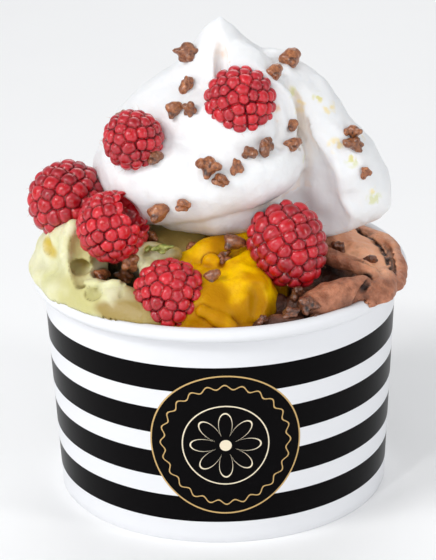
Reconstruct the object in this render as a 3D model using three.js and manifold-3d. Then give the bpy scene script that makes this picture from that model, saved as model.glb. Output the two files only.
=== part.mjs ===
// A paper gelato cup heaped with three flavours of gelato, a swirl of whipped cream, raspberries
// and small crunch pieces. Millimetres, +Z up, origin at the centre of the foot, front towards -Y.
import * as THREE from "three";
import { mergeVertices } from "three/addons/utils/BufferGeometryUtils.js";
import Module from "manifold-3d";

// ---------------------------------------------------------------- driving dimensions

const CUP = {
  height: 60, // foot to the top of the rolled rim
  footRadius: 42.6, // outside, at the foot
  flare: 0.05, // outside radius gained per millimetre of height
  wall: 0.6, // paper board
  rimRadius: 46.55, // centre line of the rolled rim
  rollRadius: 1.85, // outside radius of the roll itself
  rollSweep: 5.2, // radians that the paper curls through
  rollTuck: 0.35, // radians short of the wall that the inside of the roll ends
  floorLevel: 6.6, // underside of the raised floor
  foldHeight: 6.1, // the wall's inward fold, which grips the floor's skirt
  skirtThickness: 0.5,
  skirtFoot: 1, // height at which the floor's skirt ends
  segments: 48,
};
const SLIT = 0.15; // between the layers of paper at the foot
const GAP = 0.5; // left between foods that touch
const WALL_GAP = 0.45; // between the gelato and the cup's wall
const RIM_GAP = 0.5; // between the gelato and the rolled rim, where it doesn't lie over it

// The bands of the three flavours run from front to back, turned a little about the cup's axis.
const BANDS = {
  turn: THREE.MathUtils.degToRad(-21),
  pistachioEnd: -3.9,
  mangoEnd: 23.1,
  split: 0.3, // half of the gap between two bands
};
const HEAP = { centre: [2, 8, 58], radii: [36, 33, 17] }; // the gelato's dome under the cream

// Where each food's surface is sampled, and how finely: fine where it shows, coarse under the cream
// and down in the cup.
const GRID = {
  cream: {
    left: -38,
    right: 48,
    front: -37,
    back: 38,
    bottom: 66,
    top: 128,
    step: 3.4,
    backStep: 5,
    backStart: 2,
  },
  gelato: {
    reach: 49.5,
    buried: [4.5, 10.5, 53],
    bottom: 56,
    top: 84,
    step: 3.4,
    backStep: 8,
    backStart: -6,
  },
};

// Each food is built up in the order listed. A strand is rounded and runs through stations
// [x, y, z, radius]. Anything else is an ellipsoid. The crease where a piece joins what is listed
// before it, or is carved out of it, is filled over the distance called soft.
const CREAM = {
  heart: { centre: [0, 8, 86], radii: [29, 25, 18], soft: 1 },
  leftShoulder: {
    strand: [[-5.2, 3, 102.8, 10], [-9.5, 2, 96.5, 12.8], [-13.8, 2, 88.5, 13.8]],
    soft: 8,
  },
  firstTurn: { strand: [[-10, -11, 79.5, 7], [0, -14, 79.3, 7.4], [9, -13, 79.3, 6.8]], soft: 1 },
  secondTurn: {
    strand: [
      [-18, 14, 84, 11],
      [-20, 2, 85.5, 11.3],
      [-16, -11, 86.2, 11.3],
      [-6, -17.5, 87.5, 9.8],
      [4, -18.5, 88.9, 8.9],
      [11, -16.5, 90, 8.2],
      [14, -10, 90.8, 8],
      [13, 0, 92, 8],
    ],
    soft: 0.4,
  },
  collar: { strand: [[2, 0, 117, 4.2], [5.4, 2, 111.8, 6.4], [10.5, 4, 107, 7.8]], soft: 1.5 },
  thirdTurn: {
    strand: [
      [2.5, -2, 115, 5.6],
      [6, -5, 109, 9.5],
      [7, -8, 101, 12.3],
      [3, -10.5, 96.8, 12.5],
      [-6, -6, 97.5, 11],
    ],
    soft: 2,
  },
  peak: {
    strand: [[0, 1, 108, 10], [0.3, 0.6, 113, 7.5], [1, 0.2, 119, 4], [1.4, 0, 123.8, 0.5]],
    soft: 3,
  },
  crease: {
    strand: [[1.2, -4.6, 121, 0.4], [1.6, -7.6, 116.5, 1.9], [2.4, -13, 110, 2.8]],
    soft: 1,
    carves: true,
  },
};
const CREAM_SEAM = 0.5; // how far the crease is filled where the wing leaves the swirl

// The fold of cream that comes down on the right, outside the last turns.
const CREAM_WING = {
  body: {
    strand: [
      [14, 4, 107, 8],
      [21, 0, 101.5, 9],
      [25.4, -3.6, 94, 9.6],
      [30.2, -3.8, 86, 11],
      [33.2, -3.2, 80.6, 10.6],
    ],
    soft: 1,
  },
  back: { centre: [24, 10, 81], radii: [14, 15, 14], soft: 4 },
  foot: {
    strand: [[20, -9, 75, 6.5], [27, -10, 75.5, 5.8], [33, -9.5, 76.4, 5.2], [38.5, -7, 77.8, 4.6]],
    soft: 3,
  },
  hollow: {
    strand: [
      [15, -16, 98, 5.5],
      [17.8, -16, 92, 8.4],
      [20.3, -18, 85, 9.8],
      [21.5, -19.5, 80, 10.6],
      [24, -22.5, 75, 12],
      [26, -27, 67, 14],
    ],
    soft: 0.8,
    carves: true,
  },
  valley: {
    strand: [[14, -5.5, 112, 1.5], [20.4, -7, 104.5, 2.6], [22.2, -9, 98, 3.2], [22, -11, 92, 3]],
    soft: 1.2,
    carves: true,
  },
};

const PISTACHIO = {
  crest: {
    strand: [
      [-38.5, 6, 61, 7.5],
      [-39.3, -4, 64, 7.5],
      [-37.5, -11, 68.5, 7],
      [-35.2, -16, 70.5, 6.5],
      [-33, -21, 67, 6],
    ],
    soft: 2,
  },
  bank: {
    strand: [
      [-40, -8, 59, 6.5],
      [-34.5, -22.5, 60, 7.2],
      [-26.5, -31.5, 59.8, 6.6],
      [-18, -37.5, 58.5, 5.8],
    ],
    soft: 2.5,
  },
  mound: { centre: [-10, -9, 62], radii: [17, 12.5, 12], soft: 2 },
  drape: {
    strand: [
      [-44.5, 9, 60.5, 1.8],
      [-46.4, -2, 60.8, 2.3],
      [-44.8, -12, 60.8, 2.4],
      [-40.5, -22, 60.6, 2],
    ],
    soft: 2,
  },
  pocket: { centre: [-25, -24, 69.5], radii: [7.4, 6.4, 8.4], soft: 0.8, carves: true },
  trough: {
    strand: [
      [-32.4, -20.5, 79, 3.6],
      [-33.8, -24, 73, 3.9],
      [-34.2, -26.6, 69, 3.6],
      [-33.8, -29, 66.4, 2.2],
    ],
    soft: 0.8,
    carves: true,
  },
  pit: { centre: [-31.8, -34.2, 65], radii: [2.8, 2.6, 2.1], soft: 0.5, carves: true },
  bankBehind: {
    strand: [[-18, -22, 70.4, 2.8], [-14, -24, 71, 2.4], [-11, -24.5, 71, 1.8]],
    soft: 1,
  },
  slope: { strand: [[-17.5, -25, 68, 2.6], [-15.5, -30, 65, 4.2]], soft: 2 },
  curledEdge: {
    strand: [
      [-19.8, -25.6, 69.4, 1.3],
      [-20, -24.6, 71.6, 1.4],
      [-18.8, -24.6, 73, 1.3],
      [-16.2, -24.6, 73.4, 1.2],
      [-13.2, -25.2, 72.6, 1],
    ],
    soft: 0.5,
  },
};
const PISTACHIO_LEVEL = 58;

const MANGO = {
  heap: { centre: [-3, -28, 59], radii: [14, 15, 9.5], soft: 2 },
  rear: { centre: [3, -16, 63], radii: [14, 10, 10], soft: 2 },
  lobe: { centre: [6, -30.5, 60.5], radii: [8, 10.5, 9], soft: 1 },
  rearFlow: {
    strand: [[-9, -22, 67, 3.4], [-1, -20.5, 69.6, 3.6], [7, -17.5, 70.6, 3.8]],
    soft: 1.2,
  },
  sideFlow: { strand: [[4, -27, 66.5, 3.6], [9.5, -22.5, 67.5, 4], [12, -17, 68.5, 4]], soft: 1 },
  lump: { centre: [-2, -26.5, 69.3], radii: [2, 2, 2.2], soft: 0.8 },
  ledge: {
    strand: [[-6, -45, 64, 1.6], [1, -45, 63.6, 2], [7, -43.5, 62.6, 2]],
    soft: 1.2,
    carves: true,
  },
  flap: {
    strand: [[-4.5, -42.2, 62.6, 1.3], [-1, -43, 60.8, 1.7], [2.6, -43.4, 59, 1.6]],
    soft: 0.4,
  },
};
const MANGO_LEVEL = 58;

const CHOCOLATE = {
  scoop: { centre: [30, -3, 55.5], radii: [15, 17, 10.5], soft: 1 },
  face: { centre: [34, -6, 56], radii: [11.5, 15, 8.2], soft: 1.5 },
  ring: {
    strand: [
      [31, 18.5, 60.4, 2.8],
      [38.4, 9.6, 61.6, 2.7],
      [42.2, 3.6, 62, 2.6],
      [44.3, -3, 61.4, 2.5],
      [45.2, -9, 60.4, 2.4],
      [45, -14, 59.4, 2.4],
      [43.8, -19, 58.4, 2.6],
    ],
    soft: 0.3,
  },
  lip: {
    strand: [[34, -30, 58, 3], [38.5, -26, 59.4, 3.8], [41, -20, 59.8, 4], [42, -14, 58.6, 3.4]],
    soft: 1,
  },
  fold: {
    strand: [
      [26, -15, 66.4, 2.2],
      [30, -17.4, 65.6, 2],
      [34.3, -19.4, 64.8, 2],
      [37.6, -21.2, 63.6, 2],
      [40.2, -22.6, 61.8, 1.9],
    ],
    soft: 0.4,
  },
  log: {
    strand: [
      [22.4, -35, 59.8, 3.6],
      [26, -33, 61, 4.3],
      [31, -30, 61.6, 4.2],
      [35, -27.2, 61.8, 3.2],
    ],
    soft: 0.5,
  },
  edgeFlow: {
    strand: [[9.5, -41.4, 57.8, 2.2], [14, -40.6, 58.4, 2.2], [19, -39.6, 58.4, 2]],
    soft: 0.5,
  },
  leftKnob: { centre: [14.6, -30.6, 59], radii: [2.8, 2.8, 3.4], soft: 0.4 },
  rightKnob: { centre: [18.6, -31.5, 58.6], radii: [3, 3.4, 4.2], soft: 0.4 },
  apron: { centre: [16, -34.5, 52.5], radii: [13, 9, 6], soft: 1 },
};
const CHOCOLATE_LEVEL = 55;

// Each raspberry: where it lies, its radius and half length, the way its tip points, how wide its
// stem end opens as a share of its radius, and how much it narrows towards its tip, if it does.
const RASPBERRIES = [
  { centre: [5.9, -15, 107.1], radius: 8.7, half: 8.4, tip: [0.1, -0.9, 0.35], opening: 0.4 },
  { centre: [-20.6, -17, 98.4], radius: 7.3, half: 7.6, tip: [-0.4, -0.8, 0.3], opening: 0.4 },
  { centre: [-38, -6, 79.1], radius: 9.7, half: 10.2, tip: [-0.6, -0.7, -0.2], opening: 0.4 },
  { centre: [-26.3, -22, 77.6], radius: 8.8, half: 8.8, tip: [-0.6, 0.1, -0.45], opening: 0.62 },
  { centre: [-12.3, -34.5, 63.9], radius: 9, half: 8.6, tip: [0.25, -0.9, 0.35], opening: 0.4 },
  { centre: [17, -24, 72.6], radius: 9.4, half: 11, tip: [0.42, -0.4, -0.82], opening: 0.4, taper: 0.16 },
];
const DRUPELETS = {
  rows: 6,
  columns: 9,
  valley: 0.9, // reach of the dips between drupelets, as a share of a drupelet's
  hollow: 0.3, // depth of the stem's hollow, left of the half length
  mouth: 0.72, // reach of the hollow's wall, as a share of the outline's
  firstRing: 0.55, // angle of the hollow's ring, as a share of its mouth's
  lastRing: 0.955, // angle of the last ring before the tip, as a share of half a turn
};

// Crunch pieces and the piece of nut at the end of pistachio, as [x, y, z, width, height], lying on
// the food named.
const CRUNCH = {
  cream: [
    [-6.5, -2, 115.6, 5.6, 4],
    [18.6, -0.7, 113.1, 5.6, 5.8],
    [14.6, -10.8, 113.2, 4.6, 4.6],
    [-6.9, -7.5, 108.8, 3.8, 4.4],
    [-10.7, -14.3, 105.6, 4, 4.8],
    [-6.7, -15.6, 105.9, 3.2, 3.7],
    [-24.2, -2.9, 100.3, 3.4, 3.4],
    [-15.3, -21.1, 94.8, 4.4, 4.2],
    [-1.8, -25.3, 93.6, 5, 5.6],
    [0.8, -27.2, 91.3, 4.2, 2.8],
    [4.7, -25.7, 93.6, 2.8, 3.8],
    [8.2, -22.9, 96.1, 3.6, 3.2],
    [11.5, -21.2, 97.3, 4, 4.4],
    [21.3, -15.1, 100.5, 2.8, 3.5],
    [21.1, -18.4, 98.2, 4.8, 3.8],
    [34.6, -10.4, 97.6, 4, 4.2],
    [35.4, -13.9, 95.5, 5.2, 3.2],
    [38.8, -15.9, 88.1, 2.6, 2.8],
    [-8.6, -27.3, 85.1, 3.8, 3],
    [-14.8, -24.9, 82.3, 5.2, 5.2],
  ],
  pistachio: [
    [-16.8, -15, 71.9, 3.6, 3.2],
    [-29.9, -21.5, 64.4, 4.6, 3.6],
    [-21.9, -26.1, 69.5, 4, 4.4],
    [-24.6, -18, 62.6, 4.4, 3.2],
    [-14, -26, 73.2, 4.4, 2.4],
  ],
  mango: [
    [-6, -19.9, 69.6, 2.6, 2.6],
    [3.2, -21, 71.7, 5.4, 4.6],
    [0.7, -23.1, 69.9, 3.4, 2.5],
    [1.6, -25.5, 68.2, 2.9, 2.6],
    [-1.9, -33.7, 67.8, 4, 4],
  ],
  chocolate: [
    [30.4, -10, 67.2, 4, 4],
    [38.6, -12, 64.5, 3.4, 2.2],
    [19.1, -33, 63.6, 3.4, 3.8],
    [21.3, -38, 62.4, 5, 4.6],
    [16.9, -40, 60.2, 4.6, 2.8],
    [10, -42.2, 59.8, 3, 2],
    [23, -39.4, 59.4, 2.6, 2],
  ],
};
const CRUNCH_LIFT = 0.2; // share of its size that a crunch piece stands proud of the food's skin
const CRUNCH_UNEVEN = 0.3; // how much the corners of a crunch piece differ in reach
const SEEDS = { cream: 11, pistachio: 23, mango: 31, chocolate: 43 };

const COLOURS = {
  paper: 0xf4f4f6,
  cream: 0xfbf8f0,
  pistachio: 0xcdc98a,
  mango: 0xf6b80e,
  chocolate: 0x8a5a3e,
  raspberry: 0xc4203c,
};

// ---------------------------------------------------------------- distance fields

/** Distance to an ellipsoid. */
function blob({ centre, radii }) {
  const [cx, cy, cz] = centre;
  const [rx, ry, rz] = radii;
  return (x, y, z) => {
    const [px, py, pz] = [x - cx, y - cy, z - cz];
    const scaled = Math.hypot(px / rx, py / ry, pz / rz);
    const slope = Math.hypot(px / rx ** 2, py / ry ** 2, pz / rz ** 2);
    return slope > 1e-9 ? (scaled * (scaled - 1)) / slope : -Math.min(rx, ry, rz);
  };
}

/** Distance to a strand that runs smoothly through its stations. */
function rope(stations, steps = 4) {
  const curve = new THREE.CatmullRomCurve3(
    stations.map(([x, y, z]) => new THREE.Vector3(x, y, z)),
    false,
    "catmullrom",
    0.5,
  );
  const spans = (stations.length - 1) * steps;
  const beads = Array.from({ length: spans + 1 }, (_, i) => {
    const at = curve.getPoint(i / spans);
    const from = Math.min(Math.floor(i / steps), stations.length - 2);
    const radius = THREE.MathUtils.lerp(stations[from][3], stations[from + 1][3], i / steps - from);
    return [at.x, at.y, at.z, radius];
  });
  return (x, y, z) => {
    let nearest = Infinity;
    for (let i = 0; i < spans; i++) {
      const [ax, ay, az, ar] = beads[i];
      const [bx, by, bz, br] = beads[i + 1];
      const [ux, uy, uz] = [bx - ax, by - ay, bz - az];
      const along = ((x - ax) * ux + (y - ay) * uy + (z - az) * uz) / (ux * ux + uy * uy + uz * uz);
      const t = THREE.MathUtils.clamp(along, 0, 1);
      const distance = Math.hypot(x - ax - t * ux, y - ay - t * uy, z - az - t * uz);
      nearest = Math.min(nearest, distance - ar - t * (br - ar));
    }
    return nearest;
  };
}

/** The nearer of two distances, with the crease between them filled over the given softness. */
function soften(a, b, softness) {
  if (a === Infinity) return b;
  const near = Math.max(softness - Math.abs(a - b), 0) / softness;
  return Math.min(a, b) - (near * near * softness) / 4;
}

/** The turn that points a raspberry's tip the given way. */
const berryTurn = (tip) =>
  new THREE.Quaternion().setFromUnitVectors(
    new THREE.Vector3(0, 0, 1),
    new THREE.Vector3(...tip).normalize(),
  );

/** Distance to a raspberry's outline, without its drupelets. */
function berryOutline({ centre, radius, half, tip, taper = 0 }) {
  const outline = blob({ centre: [0, 0, 0], radii: [radius, radius, half] });
  const upright = berryTurn(tip).invert();
  return (x, y, z) => {
    const local = new THREE.Vector3(x - centre[0], y - centre[1], z - centre[2]);
    local.applyQuaternion(upright);
    const girth = 1 - taper * THREE.MathUtils.clamp(local.z / half, -1, 1);
    return outline(local.x / girth, local.y / girth, local.z);
  };
}

const blend = (a, b, softness) => (x, y, z) => soften(a(x, y, z), b(x, y, z), softness);
const carve = (a, b, softness) => (x, y, z) => -soften(-a(x, y, z), b(x, y, z), softness);
const overlap = (a, b) => (x, y, z) => Math.max(a(x, y, z), b(x, y, z));
const swell = (a, by) => (x, y, z) => a(x, y, z) - by;
const without = (a, b) => (x, y, z) => Math.max(a(x, y, z), GAP - b(x, y, z));

// ---------------------------------------------------------------- the foods' forms

const innerRadius = (z) => CUP.footRadius + CUP.flare * z - CUP.wall;

/** The room inside the cup and over its rim, clear of the paper. */
function roomInCup() {
  const rimLevel = CUP.height - CUP.rollRadius;
  const floor = CUP.floorLevel + CUP.skirtThickness + WALL_GAP;
  return (x, y, z) => {
    const r = Math.hypot(x, y);
    const side = z < rimLevel ? r - innerRadius(z) + WALL_GAP : -Infinity;
    const roll = CUP.rollRadius + RIM_GAP - Math.hypot(r - CUP.rimRadius, z - rimLevel);
    return Math.max(side, roll, floor - z);
  };
}

/** A band of the cup's filling, between two lines across the cup, level at its edge and domed. */
function band(from, to, level) {
  const [c, s] = [Math.cos(BANDS.turn), Math.sin(BANDS.turn)];
  const outer = innerRadius(level) - WALL_GAP;
  const dome = blob(HEAP);
  return (x, y, z) => {
    const across = c * x + s * y;
    const top = Math.min(z - level, dome(x, y, z));
    return Math.max(from - across, across - to, top, Math.hypot(x, y) - outer);
  };
}

/** The distance to a food: its pieces one after another, joined to a base or carved out of it. */
function pile(pieces, base = () => Infinity) {
  return Object.values(pieces).reduce((form, piece) => {
    const shape = piece.strand ? rope(piece.strand) : blob(piece);
    return piece.carves ? carve(form, shape, piece.soft) : blend(form, shape, piece.soft);
  }, base);
}

// ---------------------------------------------------------------- from field to surface

const FILLED = 0.02; // how far inside the form a filled grid corner counts as being
const PROBE = 0.2; // how far to each side the field's slope is measured
const PASSES = 3; // how often a point is moved towards the surface
const STRIDE = 0.8; // share of its distance that a point moves in one pass
const CELL_REACH = 0.4; // how far a point may move from its place, as a share of its grid cell

// The twelve edges of a grid cell, as pairs of its corners.
const CELL_EDGES = [0, 1, 2].flatMap((axis) =>
  [0, 1].flatMap((u) =>
    [0, 1].map((v) => {
      const from = [u, v];
      from.splice(axis, 0, 0);
      const to = [u, v];
      to.splice(axis, 0, 1);
      return [from, to];
    }),
  ),
);

const range = (from, to, step) => {
  const count = Math.max(1, Math.round((to - from) / step));
  return Array.from({ length: count + 1 }, (_, i) => from + ((to - from) * i) / count);
};

/** Moves a point onto the surface along the field's slope, no further than the given reach. */
function settle(field, point, reach) {
  const start = point.clone();
  for (let pass = 0; pass < PASSES; pass++) {
    const { x, y, z } = point;
    const slope = new THREE.Vector3(
      field(x + PROBE, y, z) - field(x - PROBE, y, z),
      field(x, y + PROBE, z) - field(x, y - PROBE, z),
      field(x, y, z + PROBE) - field(x, y, z - PROBE),
    );
    if (slope.lengthSq() < 1e-9) break;
    point.addScaledVector(slope.normalize(), -field(x, y, z) * STRIDE);
  }
  const moved = point.clone().sub(start);
  if (moved.length() > reach) point.copy(start).addScaledVector(moved.normalize(), reach);
  return point;
}

/** Fills one outer corner of each grid square whose inner corners meet only across its diagonal. */
function fillDiagonals(values, nx, ny, nz) {
  const strides = [1, nx, nx * ny];
  const counts = [nx, ny, nz];
  let changed = true;
  while (changed) {
    changed = false;
    for (const [u, v] of [[0, 1], [1, 2], [0, 2]]) {
      for (let start = 0; start < values.length; start++) {
        const cell = [start % nx, Math.floor(start / nx) % ny, Math.floor(start / (nx * ny))];
        if (cell[u] + 1 >= counts[u] || cell[v] + 1 >= counts[v]) continue;
        const [a, c] = [start, start + strides[u] + strides[v]];
        const [b, d] = [start + strides[u], start + strides[v]];
        const inner = (n) => values[n] < 0;
        if (inner(a) !== inner(c) || inner(b) !== inner(d) || inner(a) === inner(b)) continue;
        const outer = inner(a) ? [b, d] : [a, c];
        values[values[outer[0]] < values[outer[1]] ? outer[0] : outer[1]] = -FILLED;
        changed = true;
      }
    }
  }
}

/** A closed skin over a field: one point in each cell that the surface crosses, joined in quads. */
function skin(field, xs, ys, zs) {
  const [nx, ny, nz] = [xs.length, ys.length, zs.length];
  const index = (i, j, k) => (k * ny + j) * nx + i;
  const values = new Float64Array(nx * ny * nz);
  for (let k = 0; k < nz; k++)
    for (let j = 0; j < ny; j++)
      for (let i = 0; i < nx; i++) values[index(i, j, k)] = field(xs[i], ys[j], zs[k]);

  fillDiagonals(values, nx, ny, nz);

  const points = [];
  const owner = new Int32Array(nx * ny * nz).fill(-1);
  const corner = (i, j, k) => new THREE.Vector3(xs[i], ys[j], zs[k]);
  for (let k = 0; k < nz - 1; k++)
    for (let j = 0; j < ny - 1; j++)
      for (let i = 0; i < nx - 1; i++) {
        const crossings = [];
        for (const [a, b] of CELL_EDGES) {
          const [ia, ja, ka] = [i + a[0], j + a[1], k + a[2]];
          const [ib, jb, kb] = [i + b[0], j + b[1], k + b[2]];
          const [va, vb] = [values[index(ia, ja, ka)], values[index(ib, jb, kb)]];
          if (va < 0 !== vb < 0)
            crossings.push(corner(ia, ja, ka).lerp(corner(ib, jb, kb), va / (va - vb)));
        }
        if (!crossings.length) continue;
        const middle = new THREE.Vector3();
        crossings.forEach((p) => middle.addScaledVector(p, 1 / crossings.length));
        const reach = CELL_REACH * Math.min(xs[i + 1] - xs[i], ys[j + 1] - ys[j], zs[k + 1] - zs[k]);
        owner[index(i, j, k)] = points.push(settle(field, middle, reach)) - 1;
      }

  const faces = [];
  const quad = (a, b, c, d, flip) => {
    const [p, q, r, s] = flip ? [a, d, c, b] : [a, b, c, d];
    const shortFirst = points[p].distanceTo(points[r]) <= points[q].distanceTo(points[s]);
    faces.push(...(shortFirst ? [p, q, r, p, r, s] : [p, q, s, q, r, s]));
  };
  for (let k = 0; k < nz - 1; k++)
    for (let j = 0; j < ny - 1; j++)
      for (let i = 0; i < nx - 1; i++) {
        const inside = values[index(i, j, k)] < 0;
        const cell = (di, dj, dk) => owner[index(i - di, j - dj, k - dk)];
        if (inside !== values[index(i + 1, j, k)] < 0)
          quad(cell(0, 1, 1), cell(0, 0, 1), cell(0, 0, 0), cell(0, 1, 0), !inside);
        if (inside !== values[index(i, j + 1, k)] < 0)
          quad(cell(1, 0, 1), cell(1, 0, 0), cell(0, 0, 0), cell(0, 0, 1), !inside);
        if (inside !== values[index(i, j, k + 1)] < 0)
          quad(cell(1, 1, 0), cell(0, 1, 0), cell(0, 0, 0), cell(1, 0, 0), !inside);
      }
  const geometry = new THREE.BufferGeometry();
  geometry.setAttribute("position", new THREE.Float32BufferAttribute(points.flatMap((p) => [...p]), 3));
  return geometry.setIndex(faces);
}

/** Grid lines across an object, finer in front of a line than behind it. */
const frontToBack = (from, to, { step, backStep, backStart }) => [
  ...range(from, backStart, step),
  ...range(backStart, to, backStep).slice(1),
];

function creamSkin(field) {
  const { left, right, front, back, bottom, top, step } = GRID.cream;
  const rows = frontToBack(front, back, GRID.cream);
  return skin(field, range(left, right, step), rows, range(bottom, top, step));
}

function gelatoSkin(field) {
  const { reach, buried, bottom, top, step } = GRID.gelato;
  const levels = [...buried, ...range(bottom, top, step)];
  return skin(field, range(-reach, reach, step), frontToBack(-reach, reach, GRID.gelato), levels);
}

// ---------------------------------------------------------------- joining and cutting

const wasm = await Module();
wasm.setup();

function toSolid(geometry) {
  const bare = geometry.clone();
  bare.deleteAttribute("normal");
  bare.deleteAttribute("uv");
  const merged = mergeVertices(bare, 1e-4);
  const vertProperties = merged.attributes.position.array;
  const triVerts = new Uint32Array(merged.index.array);
  return new wasm.Manifold(new wasm.Mesh({ numProp: 3, vertProperties, triVerts }));
}

/** The largest body of a solid, as a geometry. */
function toGeometry(solid) {
  const bodies = solid.decompose().sort((a, b) => b.volume() - a.volume());
  const mesh = bodies[0].getMesh();
  const geometry = new THREE.BufferGeometry();
  geometry.setAttribute("position", new THREE.BufferAttribute(mesh.vertProperties, 3));
  geometry.setIndex(new THREE.BufferAttribute(mesh.triVerts, 1));
  return geometry;
}

/** A repeatable stream of numbers from 0 to 1. */
function dice(seed) {
  let state = seed;
  return () => {
    state = (state * 16807) % 2147483647;
    return state / 2147483647;
  };
}

/** The food with its crunch pieces pressed into its skin. */
function withCrunch(solid, field, pieces, seed) {
  const roll = dice(seed);
  return pieces.reduce((whole, [x, y, z, width, height]) => {
    const piece = new THREE.IcosahedronGeometry(0.5, 0);
    const bare = mergeVertices(piece.deleteAttribute("normal").deleteAttribute("uv"), 1e-4);
    const points = bare.attributes.position;
    for (let i = 0; i < points.count; i++) {
      const stretch = 1 + CRUNCH_UNEVEN * (roll() - 0.5);
      points.setXYZ(i, points.getX(i) * stretch, points.getY(i) * stretch, points.getZ(i) * stretch);
    }
    bare.rotateZ(roll() * Math.PI);
    bare.scale(width, (width + height) / 2, height);
    const seat = settle(field, new THREE.Vector3(x, y, z), width);
    const outward = settle(swell(field, 1), seat.clone(), 2).sub(seat).normalize();
    seat.addScaledVector(outward, CRUNCH_LIFT * Math.min(width, height));
    return whole.add(toSolid(bare.translate(seat.x, seat.y, seat.z)));
  }, solid);
}

// ---------------------------------------------------------------- raspberries

/** A raspberry: rings of drupelets round its axis, with a hollow where it left its stem. */
function raspberryGeometry({ centre, radius, half, tip, opening, taper = 0 }) {
  const { rows, columns, valley, hollow } = DRUPELETS;
  const [rings, sides] = [rows * 2, columns * 2];
  const reachAt = (angle) => 1 / Math.hypot(Math.sin(angle) / radius, Math.cos(angle) / half);
  const firstAngle = Math.asin(opening) * DRUPELETS.firstRing;
  const lastAngle = Math.PI * DRUPELETS.lastRing;
  const points = [];
  const place = (angle, turn, reach) => {
    const level = -reach * Math.cos(angle);
    const side = reach * Math.sin(angle) * (1 - (taper * level) / half);
    points.push(new THREE.Vector3(side * Math.cos(turn), side * Math.sin(turn), level));
  };
  place(0, 0, half * hollow);
  for (let j = 1; j < rings; j++) {
    const share = (j - 1) / (rings - 2);
    const angle = THREE.MathUtils.lerp(firstAngle, lastAngle, share);
    const depth = j === 1 ? DRUPELETS.mouth : 1;
    for (let i = 0; i < sides; i++) {
      const crest = j % 2 === 0 && (i + j / 2) % 2 === 0;
      place(angle, (2 * Math.PI * i) / sides, reachAt(angle) * depth * (crest ? 1 : valley));
    }
  }
  place(Math.PI, 0, half * valley);
  const faces = [];
  const at = (j, i) => 1 + (j - 1) * sides + (i % sides);
  const last = points.length - 1;
  for (let i = 0; i < sides; i++) {
    faces.push(0, at(1, i + 1), at(1, i));
    for (let j = 1; j < rings - 1; j++) {
      const quadEven = (i + Math.floor(j / 2)) % 2 === 0;
      const [a, b, c, d] = [at(j, i), at(j, i + 1), at(j + 1, i + 1), at(j + 1, i)];
      faces.push(...(quadEven ? [a, b, c, a, c, d] : [a, b, d, b, c, d]));
    }
    faces.push(last, at(rings - 1, i), at(rings - 1, i + 1));
  }
  const geometry = new THREE.BufferGeometry();
  geometry.setAttribute("position", new THREE.Float32BufferAttribute(points.flatMap((p) => [...p]), 3));
  geometry.setIndex(faces);
  return geometry.applyQuaternion(berryTurn(tip)).translate(...centre);
}

// ---------------------------------------------------------------- the cup

/** Turns a profile of [radius, height], listed clockwise, about the cup's axis. */
const lathe = (profile) => {
  const points = profile.map(([r, z]) => new THREE.Vector2(r, z));
  return new THREE.LatheGeometry(points, CUP.segments).rotateX(Math.PI / 2);
};

/** The side wall in one sheet: folded in at the foot and rolled outwards at the rim. */
function wallGeometry() {
  const { footRadius, flare, wall, rimRadius, rollRadius, rollSweep, foldHeight, skirtThickness } = CUP;
  const rimLevel = CUP.height - rollRadius;
  const outside = (z) => footRadius + flare * z;
  const arc = (radius, steps, from, to) =>
    range(0, 1, 1 / steps).map((t) => {
      const angle = THREE.MathUtils.lerp(from, to, t);
      return [rimRadius + radius * Math.cos(angle), rimLevel + radius * Math.sin(angle)];
    });
  const start = Math.PI; // where the roll leaves the wall
  const outerRoll = arc(rollRadius, 6, start, start - rollSweep);
  const innerRoll = arc(rollRadius - wall, 3, start - rollSweep, start + CUP.rollTuck);
  const foldOuter = footRadius - wall - 2 * SLIT - skirtThickness;
  const sheet = [
    [footRadius, 0],
    [outside(rimLevel - rollRadius), rimLevel - rollRadius],
    ...innerRoll.reverse(),
    ...outerRoll.reverse(),
    [innerRadius(rimLevel - rollRadius), rimLevel - rollRadius],
    [footRadius - wall, wall],
    [foldOuter, wall],
    [foldOuter + flare * foldHeight, foldHeight],
    [foldOuter - wall + flare * foldHeight, foldHeight],
    [foldOuter - wall, 0],
    [footRadius, 0],
  ];
  return lathe(sheet);
}

/** The raised floor, with its skirt held in the wall's fold. */
function floorGeometry() {
  const { footRadius, flare, wall, floorLevel, skirtThickness, skirtFoot } = CUP;
  const edge = footRadius - wall - SLIT;
  const top = floorLevel + skirtThickness;
  return lathe([
    [0, floorLevel],
    [edge - skirtThickness + flare * floorLevel, floorLevel],
    [edge - skirtThickness + flare * skirtFoot, skirtFoot],
    [edge + flare * skirtFoot, skirtFoot],
    [edge + flare * top, top],
    [0, top],
  ]);
}

// ---------------------------------------------------------------- assembly

const part = new THREE.Group();

function addMesh(name, geometry, color, roughness) {
  const mesh = new THREE.Mesh(geometry, new THREE.MeshStandardMaterial({ color, roughness }));
  mesh.name = name;
  part.add(mesh);
}

/** The rolled rim with some room round it. */
function rimRoom() {
  const tube = CUP.rollRadius + WALL_GAP;
  const ring = new THREE.TorusGeometry(CUP.rimRadius, tube, 8, CUP.segments);
  return toSolid(ring.translate(0, 0, CUP.height - CUP.rollRadius));
}

/** A food's solid: its skin and crunch pieces, kept clear of the solids it meets. */
function foodSolid(surface, field, food, neighbours) {
  const whole = withCrunch(toSolid(surface(field)), field, CRUNCH[food], SEEDS[food]);
  return neighbours.reduce((left, neighbour) => left.subtract(neighbour), whole);
}

const room = roomInCup();
const berries = RASPBERRIES.map((berry) => ({ ...berry, geometry: raspberryGeometry(berry) }));
const berrySolids = berries.map(({ geometry }) => toSolid(geometry));
const clearOfBerries = (field) => RASPBERRIES.map(berryOutline).reduce(without, field);

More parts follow.
